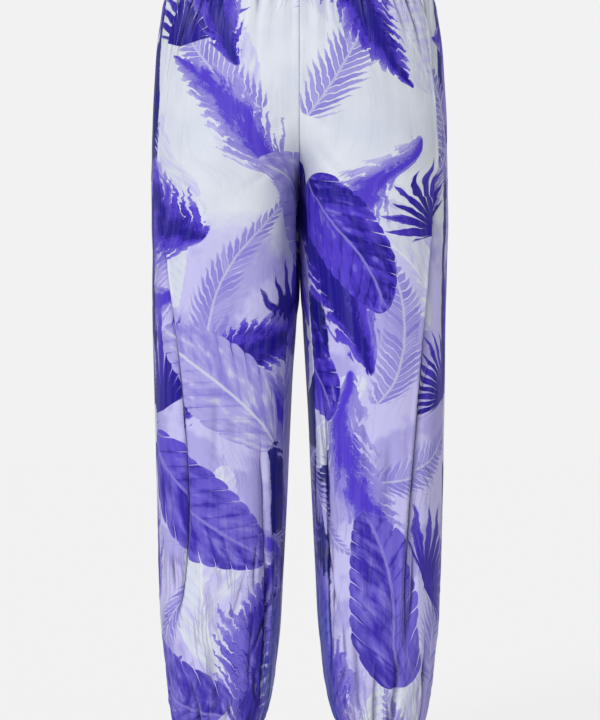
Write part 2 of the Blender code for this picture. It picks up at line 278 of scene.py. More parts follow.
def side_folds(side):
    """The long folds of one side."""
    return [fold for row in FOLDS if (fold := named(FOLD_COLUMNS, row))["side"] == side]


def crowded(side, place, height, count, crowding, width, jitter=0.0):
    """Columns along a panel's row, closer together round its folds."""
    first = 0.0 if place == "front" else 1.0
    grid = np.linspace(first, first + 1, 401)
    density = np.ones(len(grid))
    for fold in side_folds(side):
        middle, ends = fold_path(fold, height)
        if first < middle < first + 1:
            share = min(fold["depth"] * float(ends) / FULL_CROWDING_DEPTH, 1)
            density += crowding * share * np.exp(-(((grid - middle) / width) ** 2))
    reach = np.concatenate([[0], np.cumsum((density[1:] + density[:-1]) / 2)])
    at = np.arange(count + 1) + jitter
    return np.interp(at / count * reach[-1], reach, grid)


def draw_cut():
    """The gathers that the solids have: each column's place and how far it stands out, drawn in their order."""
    random = np.random.default_rng(CUT_SEED)
    cut = {}
    for side in ("left", "right"):
        for place in ("front", "back"):
            jitter = random.uniform(-COLUMN_JITTER, COLUMN_JITTER, PANEL_COLUMNS + 1)
            jitter[[0, -1]] = 0
            waves = random.uniform(*WAVE_SPREAD, PANEL_COLUMNS + 1) * (-1.0) ** np.arange(PANEL_COLUMNS + 1)
            waves[[0, -1]] = 0
            cut[side, place] = (jitter, waves)
    return cut


def row_heights():
    """The heights of the grid's rows, from the waist seam down to the ankle seam."""
    fine = 1.0
    heights = [WAIST_HEIGHT]
    for top, bottom, step in ROW_STEPS:
        count = max(2, round((top - bottom) / (step * fine)))
        heights.extend(np.linspace(top, bottom, count + 1)[1:])
    return np.array(heights)


SEEDS = {"gathers": (31, 37), "fine_gathers": (23, 29), "seams": (41, 43), "swells": (51, 57)}  # left, right
CUT_SEED = 7
NOISE_SIZE = 64


def soft_noise(x, y, seed):
    """Smooth random heights from about -1 to 1 over a plane whose grid step is 1."""
    random = np.random.default_rng(seed)
    table = random.uniform(-1, 1, (NOISE_SIZE, NOISE_SIZE))
    xi, yi = np.floor(x).astype(int), np.floor(y).astype(int)
    fx, fy = smooth(x - xi, 0, 1), smooth(y - yi, 0, 1)

    def at(i, j):
        return table[(xi + i) % NOISE_SIZE, (yi + j) % NOISE_SIZE]

    low = at(0, 0) * (1 - fx) + at(1, 0) * fx
    high = at(0, 1) * (1 - fx) + at(1, 1) * fx
    return low * (1 - fy) + high * fy


CUT = draw_cut()


class Leg:
    """One side of the garment as a grid: a row for each height and a column for each place around it, from
    the centre front or the inseam, past the side seam, to the centre back or the inseam."""

    def __init__(self, side):
        self.side = side
        self.heights = row_heights()
        fine = 1.0
        counts = {place: round(GRID_COLUMNS[place] * fine) for place in GRID_COLUMNS}
        self.seam = counts["front"]
        points, around, along, lengths = [], [], [], []
        for height in self.heights:
            line, side_point = half_section(height)
            rows = []
            for place, part in (("front", line[: side_point + 1]), ("back", line[side_point:])):
                columns = crowded(side, place, height, counts[place], FOLD_CROWDING, FOLD_CROWD_WIDTH)
                share = columns - (place == "back")
                at, length = evenly(part, share)
                rows.append((at, columns, share * length, length))
            (front, columns, run, length), (back, more, more_run, more_length) = rows
            points.append(np.vstack([front, back[1:]]))
            around.append(np.concatenate([columns, more[1:]]))
            along.append(np.concatenate([run, length + more_run[1:]]))
            lengths.append((length, more_length))
        self.around = np.array(around)
        self.along = np.array(along)
        self.lengths = np.array(lengths)
        level = np.array(points)
        z = np.repeat(self.heights[:, None], level.shape[1], axis=1)
        self.smooth_points = np.dstack([level, z])
        self.out = self.directions(self.smooth_points)
        self.z = z

    def seed(self, use):
        """The seed of this side's random draws for one use."""
        return SEEDS[use][self.side == "right"]

    def span(self, place):
        """The columns of the front panel or the back panel, with the side seam in both."""
        return slice(0, self.seam + 1) if place == "front" else slice(self.seam, None)

    def directions(self, points):
        """Outward directions, with what lies across each seam taken into account."""
        below_crotch = self.heights <= CROTCH_HEIGHT
        mirror = np.array([-1, 1, 1])
        before = np.where(below_crotch[:, None], points[:, -2], points[:, 1] * mirror)
        after = np.where(below_crotch[:, None], points[:, 1], points[:, -2] * mirror)
        wide = np.concatenate([before[:, None], points, after[:, None]], axis=1)
        run = wide[:, 2:] - wide[:, :-2]
        rise = -np.gradient(points, axis=0)
        out = np.cross(run, rise)
        level = np.maximum(
            smooth(self.heights, -44, WAIST_HEIGHT), smooth(self.heights, -980, ANKLE_HEIGHT)
        )  # a gather ends on its seam
        out[:, :, 2] *= 1 - level[:, None]
        return out / np.linalg.norm(out, axis=2)[:, :, None]

    def wave(self):
        """The gathers of the solids, rounded."""
        total = np.zeros_like(self.around)
        random = np.random.default_rng(self.seed("gathers"))
        for place, first in (("front", 0.0), ("back", 1.0)):
            jitter, cut = CUT[self.side, place]
            longer = random.uniform(*GATHER_REACHES, (2, PANEL_COLUMNS + 1))
            for i, height in enumerate(self.heights):
                below = (WAIST_HEIGHT - height) / (WAIST_WAVE_FADE * longer[0])
                above = (height - ANKLE_HEIGHT) / (ANKLE_WAVE_FADE * longer[1])
                waves = cut * (WAIST_WAVE * np.exp(-below) + ANKLE_WAVE * np.exp(-above))
                crowding = SOLID_CROWDING, SOLID_CROWD_WIDTH
                columns = crowded(self.side, place, height, PANEL_COLUMNS, *crowding, jitter)
                at = self.around[i]
                inside = (at >= first) & (at <= first + 1)
                k = np.clip(np.searchsorted(columns, at[inside]) - 1, 0, PANEL_COLUMNS - 1)
                share = smooth((at[inside] - columns[k]) / (columns[k + 1] - columns[k]), 0, 1)
                total[i, inside] = waves[k] + (waves[k + 1] - waves[k]) * share
        return total

    def across_fold(self, fold):
        """How far each point lies from a fold's line along the row, and the fold's share of its depth."""
        middle, ends = fold_path(fold, self.heights)
        scale = np.where(middle <= 1, self.lengths[:, 0], self.lengths[:, 1])
        return (self.around - middle[:, None]) * scale[:, None], ends[:, None]

    def line_at(self, place, x_top, x_bottom, bow, top, bottom):
        """How far each point lies along its row from a line that is drawn by its distances from the middle
        plane, and where each row is between the line's top, 0, and its bottom, 1."""
        share = (top - self.heights) / (top - bottom)
        inside = np.clip(share, 0, 1)
        across = x_top + (x_bottom - x_top) * inside + bow * 4 * inside * (1 - inside)
        at = np.zeros(len(self.heights))
        for i, x in enumerate(across):
            xs, along = self.smooth_points[i, :, 0], self.along[i]
            if place == "front":
                at[i] = np.interp(x, xs[: self.seam + 1], along[: self.seam + 1])
            else:
                widest = self.seam + int(np.argmax(xs[self.seam :]))
                at[i] = np.interp(x, xs[widest:][::-1], along[widest:][::-1])
        return self.along - at[:, None], share[:, None]


# ---- Creases and pocket edges: x is the distance from the middle plane, in millimetres ----

CREASE_COLUMNS = ("x_top", "x_bottom", "bow", "top", "bottom", "half_width", "depth")
CREASES = {
    ("right", "front"): (
        # from the waist seam down
        (112, 160, 6, -19, -176, 2.6, 3.0),
        (98, 143, 4, -19, -146, 2.2, 2.2),
        (80, 105, 2, -19, -116, 2.0, 1.7),
        (66, 78, 1, -19, -88, 1.8, 1.2),
        (48, 53, 0, -19, -104, 1.8, 1.3),
        (31, 34, 1, -19, -96, 1.6, 1.2),
        (17, 19, 0, -19, -72, 1.6, 1.1),
        (128, 170, 2, -19, -120, 2.2, 1.8),
        # soft pulls from the crotch
        (16, 66, -6, -214, -262, 5.0, 0.9),
        (12, 78, -9, -244, -318, 5.0, 1.1),
        # knees and lower legs
        (134, 137, 2, -556, -655, 6.0, 1.5),
        (106, 108, -2, -540, -668, 6.5, 1.4),
        (84, 80, 1, -566, -640, 5.5, 1.1),
        (162, 158, 1, -752, -816, 3.5, 1.6),
        (37, 52, -2, -776, -992, 2.6, 3.0),
        (56, 64, 1, -822, -944, 3.5, 1.6),
        (118, 104, -2, -858, -985, 4.0, 1.6),
        (142, 121, -2, -900, -1001, 3.0, 1.8),
        (171, 169, 1, -735, -822, 4.0, 1.0),
        (159, 158, 1, -742, -820, 4.0, 0.9),
        (171, 164, 0, -816, -860, 2.2, 1.8),
        (51, 57, 1, -736, -820, 2.4, 1.7),
        (34, 66, -16, -730, -898, 3.0, 2.4),
        (54, 51, 1, -902, -956, 3.0, 2.6),
        (62, 90, 1, -764, -862, 3.4, 1.0),
        (99, 107, 1, -912, -950, 2.4, 1.2),
        (90, 84, 1, -932, -978, 2.2, 1.0),
        (158, 150, 1, -946, -968, 2.0, 1.3),
    ),
    ("left", "front"): (
        # from the waist seam down
        (110, 156, 8, -19, -168, 2.6, 2.8),
        (96, 136, 3, -19, -132, 2.2, 2.2),
        (85, 99, 2, -19, -94, 1.8, 1.3),
        (71, 88, -2, -19, -128, 2.0, 1.7),
        (53, 60, 1, -19, -82, 1.8, 1.3),
        (38, 44, 0, -19, -112, 1.6, 1.2),
        (24, 26, 1, -19, -86, 1.6, 1.1),
        (9, 10, 0, -19, -64, 1.6, 1.1),
        (126, 166, 3, -19, -110, 2.2, 1.8),
        # soft pulls from the crotch
        (15, 60, -5, -206, -250, 5.0, 0.9),
        (12, 84, -8, -238, -322, 5.0, 1.1),
        # knees and lower legs
        (31, 50, -3, -730, -842, 3.6, 2.4),
        (52, 56, 1, -838, -902, 2.4, 1.6),
        (56, 47, 1, -898, -930, 2.4, 1.8),
        (144, 136, 3, -735, -868, 2.6, 1.8),
        (158, 144, 2, -890, -958, 5.0, 2.4),
        (18, 31, 1, -536, -676, 3.4, 1.8),
        (38, 40, 1, -736, -872, 3.0, 2.2),
        (160, 155, 1, -882, -962, 3.0, 2.8),
        (168, 152, 0, -500, -576, 3.5, 1.2),
        (155, 170, 0, -645, -672, 2.6, 1.2),
        (152, 168, 0, -656, -688, 2.6, 1.0),
        (76, 82, 2, -560, -690, 7.0, 1.3),
        (112, 108, -2, -600, -745, 7.0, 1.4),
        (66, 72, 2, -850, -985, 3.8, 1.7),
        (96, 92, -1, -884, -1001, 3.4, 1.8),
        (126, 112, 1, -862, -990, 3.6, 1.8),
    ),
    ("right", "back"): (
        # from the waist seam, under the seat, behind the knees and above the ankles
        (30, 36, 1, -19, -118, 2.0, 1.6),
        (62, 76, 1, -19, -142, 2.2, 2.0),
        (92, 118, 3, -19, -104, 2.0, 1.7),
        (118, 150, 2, -19, -128, 2.2, 2.0),
        (22, 92, -8, -282, -334, 4.5, 2.4),
        (34, 128, -10, -306, -372, 5.0, 2.0),
        (46, 112, -6, -566, -604, 4.5, 2.0),
        (132, 64, 6, -598, -640, 4.5, 1.6),
        (124, 112, 1, -836, -1001, 3.4, 2.2),
        (96, 92, 1, -890, -1001, 3.0, 1.8),
        (70, 74, 1, -858, -996, 3.2, 2.0),
    ),
    ("left", "back"): (
        # from the waist seam, under the seat, behind the knees and above the ankles
        (22, 25, 0, -19, -92, 1.8, 1.4),
        (47, 56, 1, -19, -134, 2.2, 2.0),
        (80, 98, 2, -19, -110, 2.0, 1.8),
        (106, 136, 3, -19, -150, 2.4, 2.2),
        (20, 98, -8, -276, -338, 4.5, 2.4),
        (40, 120, -9, -312, -364, 5.0, 1.8),
        (44, 108, -6, -578, -622, 4.5, 2.0),
        (138, 72, 6, -552, -600, 4.5, 1.7),
        (132, 116, 1, -866, -1001, 3.4, 2.1),
        (104, 98, -1, -822, -990, 3.4, 2.1),
        (66, 76, 1, -884, -1001, 3.0, 1.9),
    ),
}
# each pocket's pressed edge: its panel, x_top, x_bottom, bow, top and bottom
POCKETS = {"right": ("front", 126, 174, 9, -19, -252), "left": ("front", 126, 175, 9, -19, -256)}
NEAR_WAIST, NEAR_ANKLE = -20, -1000  # a crease that starts above, or ends below, runs into the seam there
SHARP_HALF_WIDTHS = (4.6, 2.8)  # a crease this wide is soft, and one this narrow has a sharp line
POCKET_LIP = 1.1
POCKET_STITCH_INSET = 6.0
SEAM_ALLOWANCE = 6.0
# short gathers on each panel's edge: how many, from how far to how far they reach, and how deep they are
FINE_GATHERS = {"waist": (19, (16, 60), (0.4, 1.1)), "ankle": (24, (20, 85), (0.5, 1.5))}
FINE_HALF_WIDTHS = (1.3, 2.1)
FINE_DRIFT = 0.025
FAR_FROM_CREASES = 60.0
GATHER_REACHES = (0.6, 2.1)  # a gather fades this much faster or more slowly than in the solids
SHOULDER = (0.32, 2.5, 1.1)  # beside a crease: how high of its depth, how far out and how wide in half widths
FOLD_WIDTHS = (0.8, 1.5)  # a long fold's inner side is steeper than its outer side
FOLD_SHOULDER = (0.5, 7.5, 4.5)  # how high of its depth, how far off and how wide
POCKET_GROOVE = (0.45, 1.3)  # the stitched groove beside a pocket's edge: depth and half width
SIDE_SEAM_DEPTH, INNER_SEAM_DEPTH, SEAM_HALF_WIDTH = 0.45, 0.4, 1.5
ALLOWANCE_LIFT = 0.4
PUCKER_DEPTH, PUCKER_REACH, PUCKER_LENGTH = 0.35, 9, 7.5
CALM_TOP, CALM_BOTTOM, CALM_REACH = (-258, -272), (-340, -322), 11  # beside the crotch seam
HOLLOWS = ((4, 1.9), (13, 4.5))  # so many columns to each side, and the depth that counts as full
FOLD_HIDES = 20.0  # how much cloth a long fold holds, so that the print jumps there


def trough(distance, half_width):
    """A crease's profile: 1 at its line, with a soft shoulder raised on each side."""
    off = np.abs(distance) / half_width
    high, out, wide = SHOULDER
    return np.exp(-(off**1.5)) - high * np.exp(-(((off - out) / wide) ** 2))


def crease_ends(share, length, starts_at_seam, ends_at_seam):
    """How much of its depth a crease has along its length. It fades at an end that isn't on a seam."""
    fade = min(0.45, 45 / length)
    near = 1.0 if starts_at_seam else smooth(share, 0, fade)
    far = 1.0 if ends_at_seam else smooth(1 - share, 0, 0.7 if starts_at_seam else fade)
    return near * far * ((share > -0.001) & (share < 1.001))


def mark(leg, distance, strength):
    """Keeps how far each point lies from its nearest crease line, and how strong that crease is there. The
    distance changes evenly across a line, so that the material can draw it, as a bump and painted shade, thinner
    than the grid's step."""
    nearer = (np.abs(distance) < np.abs(leg.line)) & (strength > 0.02)
    leg.line = np.where(nearer, distance, leg.line)
    leg.strength = np.where(nearer, strength, leg.strength)


def relief(leg, sizes):
    """How far the cloth stands out from its smooth form at every point, and where its print has jumped."""
    push = leg.wave() * sizes.gather_depth
    jump = np.zeros_like(push)
    leg.line, leg.strength = np.full_like(push, FAR_FROM_CREASES), np.zeros_like(push)
    for fold in side_folds(leg.side):
        distance, ends = leg.across_fold(fold)
        mark(leg, distance + 0.9 * soft_noise(leg.z / 26, 0 * leg.z, round(fold["depth"] * 10)), 0.9 * ends)
        width = np.where(distance < 0, fold["half_width"] * FOLD_WIDTHS[0], fold["half_width"] * FOLD_WIDTHS[1])
        off = np.sqrt((distance / width) ** 2 + 0.03) - 0.17
        push -= fold["depth"] * ends * np.exp(-(off**1.35))
        high, out, wide = FOLD_SHOULDER
        push += high * fold["depth"] * ends * np.exp(-(((distance + out) / wide) ** 2))
        jump += FOLD_HIDES * ends * smooth(distance, -2.5, 2.5)
    for place, row in [(place, row) for place in ("front", "back") for row in CREASES[leg.side, place]]:
        crease = named(CREASE_COLUMNS, row)
        x_top, x_bottom, top, bottom = (crease[name] for name in ("x_top", "x_bottom", "top", "bottom"))
        distance, share = leg.line_at(place, x_top, x_bottom, crease["bow"], top, bottom)
        slant = math.hypot(1, (x_bottom - x_top) / (top - bottom))
        ends = crease_ends(share, top - bottom, top > NEAR_WAIST, bottom < NEAR_ANKLE)
        here = trough(distance / slant, crease["half_width"]) * ends
        on_panel = (leg.around <= 1) if place == "front" else (leg.around >= 1)
        push -= crease["depth"] * sizes.crease_depth * here * on_panel
        wander = 0.8 * soft_noise(leg.z / 19, 0 * leg.z, round(x_top))
        sharp = float(smooth(crease["half_width"], *SHARP_HALF_WIDTHS)) * min(0.35 + 0.25 * crease["depth"], 1)
        mark(leg, distance / slant + wander, sharp * ends * on_panel)
    push -= fine_gathers(leg) * sizes.crease_depth
    distance, share = leg.line_at(*POCKETS[leg.side])
    inside = smooth(share, -0.01, 0.02) * smooth(1.0 - share, 0, 0.04) * (leg.around <= 1)
    step = smooth(distance, 1.2, -0.4) * np.exp(-np.clip(-distance, 0, None) / 16)
    push += POCKET_LIP * step * inside
    deep, wide = POCKET_GROOVE
    push -= deep * np.exp(-(((distance + POCKET_STITCH_INSET) / wide) ** 2)) * inside
    push += undulation(leg)
    # the seams: a fine valley, and at the centre front the edge of the allowance behind it
    side_seam = leg.along - leg.lengths[:, :1]
    inner = np.minimum(leg.along, leg.lengths.sum(axis=1)[:, None] - leg.along)
    valleys = ((side_seam, SIDE_SEAM_DEPTH), (inner, INNER_SEAM_DEPTH))
    push -= sum(depth * np.exp(-((distance / SEAM_HALF_WIDTH) ** 2)) for distance, depth in valleys)
    upper = smooth(leg.z, CROTCH_HEIGHT, -290)
    push += ALLOWANCE_LIFT * upper * (1 - smooth(inner, SEAM_ALLOWANCE - 1.2, SEAM_ALLOWANCE + 1.2))
    near_edge = np.exp(-np.minimum(np.abs(side_seam), inner) / PUCKER_REACH)
    push += PUCKER_DEPTH * near_edge * soft_noise(leg.z / PUCKER_LENGTH, leg.around * 3, leg.seed("seams"))
    # the cloth lies still where the crotch seam turns under, so that it doesn't cross itself there
    turn = smooth(leg.z, *CALM_TOP) * smooth(leg.z, *CALM_BOTTOM)
    push *= 1 - turn * np.exp(-((inner / CALM_REACH) ** 2))
    return push, jump


def fine_gathers(leg):
    """Short narrow creases that run out from the waist seam and the ankle seam, between the main ones."""
    random = np.random.default_rng(leg.seed("fine_gathers"))
    total = np.zeros_like(leg.along)
    for edge, seam in (("waist", WAIST_HEIGHT), ("ankle", ANKLE_HEIGHT)):
        count, reaches, depths = FINE_GATHERS[edge]
        for first in (0, 1):
            for _ in range(count):
                at = first + random.uniform(0.02, 0.98)
                reach = random.uniform(*reaches)
                drift = random.uniform(-FINE_DRIFT, FINE_DRIFT)
                depth = random.uniform(*depths)
                half_width = random.uniform(*FINE_HALF_WIDTHS)
                away = np.abs(leg.heights - seam)
                fade = np.exp(-((away / reach) ** 2))
                rows = np.nonzero(fade > 0.02)[0]
                middle = at + drift * away[rows] / reach
                scale = leg.lengths[rows, first]
                distance = (leg.around[rows] - middle[:, None]) * scale[:, None]
                same = (leg.around[rows] <= 1) if first == 0 else (leg.around[rows] >= 1)
                total[rows] += depth * fade[rows, None] * trough(distance, half_width) * same
                whole, strength = np.full_like(total, np.inf), np.zeros_like(total)
                whole[rows], strength[rows] = distance, 0.5 * depth * fade[rows, None] * same
                mark(leg, whole, strength)
    return total


SWELLS = ((1.1, 0.0, 34, 190), (0.35, 0.5, 15, 80), (0.10, 0.0, 6, 40))  # depth, more low down, width, length
CRUMPLE_DEPTH = 0.9


def undulation(leg):
    """The slow waves of loose satin: long upright swells, and smaller ones lower down the legs."""
    seed = leg.seed("swells")
    ground = smooth(leg.z, -40, -150)
    lower = smooth(leg.z, -420, -760)
    closed = np.sin(np.clip(leg.along / leg.lengths.sum(axis=1)[:, None], 0, 1) * math.pi) ** 0.5
    waves = 0
    for i, (depth, more, width, length) in enumerate(SWELLS):
        waves = waves + (depth + more * lower) * soft_noise(leg.along / width, leg.z / length, seed + i)
    slanting = (leg.along + 0.5 * leg.z) / 13, (leg.z - 0.4 * leg.along) / 30
    crumple = CRUMPLE_DEPTH * soft_noise(*slanting, seed + len(SWELLS))
    crumple *= smooth(leg.z, -850, -940) * smooth(leg.z, ANKLE_HEIGHT, ANKLE_HEIGHT + 12)
    return (waves + crumple) * ground * closed


def wind(points):
    """Bends the inner thighs sideways together, so that the narrow gap between them isn't a flat slit."""
    x, y, z = np.moveaxis(points, -1, 0)
    level = smooth(z, WIND_TOP + 30, WIND_TOP) * smooth(z, WIND_BOTTOM - 30, WIND_BOTTOM)
    bend = WIND_DEPTH * np.sin(2 * math.pi * (y - WIDEST_Y) / WIND_PERIOD) * level
    moved = points.copy()
    moved[..., 0] = x + bend * np.exp(-((x / WIND_REACH) ** 2))
    return moved


def hollows(push):
    """How far each point lies in a crease, from 0 to 1: set against the cloth close by, and further off. The
    material darkens the colour by it, as painted shade.
    """
    total = np.zeros_like(push)
    for reach, full in HOLLOWS:
        reach = max(2, round(reach / (1)))
        wide = np.pad(push, ((0, 0), (reach, reach)), mode="edge")
        sums = np.cumsum(np.pad(wide, ((0, 0), (1, 0))), axis=1)
        around = (sums[:, 2 * reach + 1 :] - sums[:, : -2 * reach - 1]) / (2 * reach + 1)
        total = np.maximum(total, (around - push) / full)
    total = np.clip(total, 0, 1)
    for _ in range(2):  # evened out a little, so that a slanting crease isn't shaded in steps
        total[1:-1] = (total[:-2] + 2 * total[1:-1] + total[2:]) / 4
        total[:, 1:-1] = (total[:, :-2] + 2 * total[:, 1:-1] + total[:, 2:]) / 4
    return total


_legs = {}


def leg_form(side):
    """One side's form with its relief, made once."""
    if side not in _legs:
        leg = Leg(side)
        leg.push, leg.jump = relief(leg, bpy.context.scene.trouser_sizes)
        leg.hollow = hollows(leg.push)
        leg.outer = leg.smooth_points + leg.out * leg.push[:, :, None]
        _legs[side] = leg
    return _legs[side]


def placed(side, points):
    """Keeps a leg's points on its own side of the middle plane, and puts them where that side is."""
    moved = points.copy()
    moved[..., 0] = np.maximum(moved[..., 0], SEAM_GAP / 2)
    if side == "right":
        moved[..., 0] *= -1
    return wind(moved)


# ---- Meshes ----


def add_mesh(name, points, quads, uvs, slots=None):
    """A mesh of quads, with a corner's place on the bake sheet for each corner."""
    mesh = bpy.data.meshes.new(name)
    quads = np.asarray(quads, np.int32)
    mesh.vertices.add(len(points))
    mesh.vertices.foreach_set("co", (np.asarray(points, float) * MM).astype(np.float32).ravel())
    mesh.loops.add(quads.size)
    mesh.loops.foreach_set("vertex_index", quads.ravel())
    mesh.polygons.add(len(quads))
    mesh.polygons.foreach_set("loop_start", np.arange(0, quads.size, 4, dtype=np.int32))
    mesh.polygons.foreach_set("use_smooth", np.ones(len(quads), bool))
    if slots is not None:
        mesh.polygons.foreach_set("material_index", np.asarray(slots, np.int32))
    mesh.update(calc_edges=True)
    layer = mesh.uv_layers.new(name="OFBake")
    layer.uv.foreach_set("vector", np.asarray(uvs, np.float32).ravel())
    piece = bpy.data.objects.new(name, mesh)
    bpy.context.scene.collection.objects.link(piece)
    return piece


def grid_quads(first, rows, columns, closed, flip):
    """The quads of a grid of points, and each corner's row and column."""
    i, j = np.meshgrid(np.arange(rows - 1), np.arange(columns - (not closed)), indexing="ij")
    i, j = i.ravel(), j.ravel()
    after = j + 1
    wrapped = after % columns
    corners = [(i, j, j), (i + 1, j, j), (i + 1, wrapped, after), (i, wrapped, after)]
    if flip:
        corners = corners[::-1]
    quads = np.stack([first + a * columns + b for a, b, _ in corners], axis=1)
    places = np.stack([np.stack([a, c], axis=1) for a, _, c in corners], axis=1)
    return quads, places


def add_faces(quads, uvs, corners, places, turn):
    """Adds faces with their corners' places on the bake sheet, the other way round where turn is true."""
    step = -1 if turn else 1
    quads.append(corners[:, ::step])
    uvs.append(places[:, ::step])


def shell(name, outer, inner, closed, flip):
    """A closed thin wall from two grids of points, the outer and the inner face of the cloth."""
    rows, columns = outer.shape[:2]
    points = np.concatenate([outer.reshape(-1, 3), inner.reshape(-1, 3)])
    count = rows * columns
    reach = columns if closed else columns - 1
    front, place = grid_quads(0, rows, columns, closed, flip)
    back, back_place = grid_quads(count, rows, columns, closed, not flip)
    quads, uvs = [front, back], []
    for places, left in ((place, 0.0), (back_place, 0.51)):
        down = 0.02 + 0.95 * (1 - places[..., 0] / (rows - 1))
        uvs.append(np.stack([left + 0.49 * places[..., 1] / reach, down], axis=-1))
    # the cloth's edges: along the top and the bottom, and where it isn't a tube along both ends
    for row, low in ((0, 0.975), (rows - 1, 0.987)):
        j = np.arange(columns - (not closed))
        k = (j + 1) % columns
        a, b = row * columns + j, row * columns + k
        edge = np.stack([a, b, b + count, a + count], axis=1)
        span = np.stack([j, j + 1, j + 1, j], axis=1) / reach * 0.98
        high = np.array([low, low, low + 0.008, low + 0.008])[None, :].repeat(len(j), 0)
        add_faces(quads, uvs, edge, np.stack([span, high], axis=-1), (row == 0) == flip)
    if not closed:
        for column, low in ((0, 0.492), (columns - 1, 0.501)):
            i = np.arange(rows - 1)
            a, b = i * columns + column, (i + 1) * columns + column
            edge = np.stack([a, b, b + count, a + count], axis=1)
            down = 0.02 + 0.95 * (1 - np.stack([i, i + 1, i + 1, i], axis=1) / (rows - 1))
            wide = np.array([low, low, low + 0.007, low + 0.007])[None, :].repeat(len(i), 0)
            add_faces(quads, uvs, edge, np.stack([wide, down], axis=-1), (column == 0) != flip)
    slots = np.zeros(sum(map(len, quads)), np.int32)
    slots[len(front) : len(front) + len(back)] = 1
    return add_mesh(name, points, np.concatenate(quads), np.concatenate(uvs), slots)


def draw_in(face):
    """Moves a grid's two end columns inwards by half a seam's gap, so that sewn neighbours don't touch."""
    for end, near in ((0, 1), (-1, -2)):
        step = face[:, near] - face[:, end]
        face[:, end] += step / np.linalg.norm(step, axis=1)[:, None] * SEAM_GAP / 2


def set_values(piece, name, values):
    """Keeps a value for each point on the mesh: one number, or four as a colour."""
    values = np.asarray(values, np.float32)
    kind = "FLOAT" if values.ndim == 1 else "FLOAT_COLOR"
    attribute = piece.data.attributes.new(name, kind, "POINT")
    attribute.data.foreach_set("value" if values.ndim == 1 else "color", values.ravel())


# ---- The leaf print: each kind of leaf has its own layer, tossed over each panel ----

KIND_COLUMNS = ("layer", "count", "length", "half_width", "bend", "gap")
KINDS = (
    ("pale_leaf", 24, (200, 330), (38, 58), 0.16, 9),
    ("fern", 22, (150, 250), (34, 50), 0.20, 9),
    ("soft_plume", 16, (220, 340), (50, 76), 0.20, 9),
    ("fan", 12, (95, 150), (1.0, 1.5), 0.0, 9),
    ("plume", 20, (240, 380), (56, 84), 0.20, 9),
    ("broad_leaf", 9, (180, 270), (50, 72), 0.12, 12),
)
TOSS_TRIES = 90
TURNED_OVER = 0.34  # this share of the leaves points down
FAN_REACH = 0.72
LEAF_MARGIN = 5.5  # a leaf's values reach this far past its edge, more than one step of the cloth's grid


def layer_share(layer, place, s, t):
    """How likely a leaf of this layer is to lie here on a panel: s is the share across, t the height."""
    upper, lower = smooth(t, -400, -300), smooth(t, -380, -540)
    middle = smooth(t, -220, -300) * smooth(t, -560, -470)
    outer = smooth(s, 0.0, 0.25) if place == "front" else 1.0
    if layer == "pale_leaf":
        return 0.2 * upper * outer + 1.0 * lower + 0.5 * middle
    if layer == "fern":
        return 0.6 * upper * outer + 0.6 * middle + 0.4 * lower
    if layer == "soft_plume":
        return 1.0 * upper * outer + 0.5 * middle + 0.35 * lower
    if layer == "plume":
        return 1.0 * upper * outer + 0.35 * middle + 0.5 * lower
    if layer == "fan":
        return 0.12 * upper * outer + 1.0 * middle + 0.35 * lower
    return 0.9 * smooth(t, -440, -540) + 0.12 * middle


DEEP_LAYERS = ("soft_plume", "fan", "plume", "broad_leaf")
PALE_ACROSS, PALE_ABOVE = 26.0, -205.0  # the ground that stays pale, at the top of the centre front


def in_pale_zone(line, reach):
    """Whether a leaf would reach into the pale ground beside the centre front."""
    near = 0.8 * reach
    return bool(np.any((line[:, 0] - near < PALE_ACROSS) & (line[:, 1] + near > PALE_ABOVE)))


def toss(place, seed, width):
    """Leaves over a panel, with a clear gap between any two of one layer: where each starts, how it lies, its
    length, half width and bend, and its tone."""
    random = np.random.default_rng(seed)
    leaves = []
    for row in KINDS:
        kind = named(KIND_COLUMNS, row)
        kept = []
        for _ in range(kind["count"] * TOSS_TRIES):
            s, t = random.uniform(-0.1, 1.1), random.uniform(-1040, 20)
            angle = random.uniform(-1.15, 1.15) + (math.pi if random.uniform() < TURNED_OVER else 0)
            length, half = random.uniform(*kind["length"]), random.uniform(*kind["half_width"])
            bend = random.choice([-1, 1]) * random.uniform(0.3, 1.0) * kind["bend"]
            tone, chance = random.uniform(), random.uniform()
            if chance > layer_share(kind["layer"], place, s, t) or len(kept) >= kind["count"]:
                continue
            axis = np.array([math.sin(angle), math.cos(angle)])
            side = np.array([axis[1], -axis[0]])
            steps = np.linspace(0, 1, 9)[:, None]
            start = np.array([s * width, t]) - axis * length / 2
            line = start + axis * length * steps + side * (4 * bend * length * steps * (1 - steps))
            reach = half if kind["layer"] != "fan" else length * FAN_REACH
            if place == "front" and kind["layer"] in DEEP_LAYERS and in_pale_zone(line, reach):
                continue
            leaf = dict(line=line, reach=reach, start=start, axis=axis, side=side)
            leaf |= dict(length=length, half=half, bend=bend, tone=tone)
            if all(
                np.min(np.linalg.norm(line[:, None] - other["line"][None], axis=2))
                > reach + other["reach"] + kind["gap"]
                for other in kept
            ):
                kept.append(leaf)
        leaves.extend((kind["layer"], leaf) for leaf in kept)
    return leaves


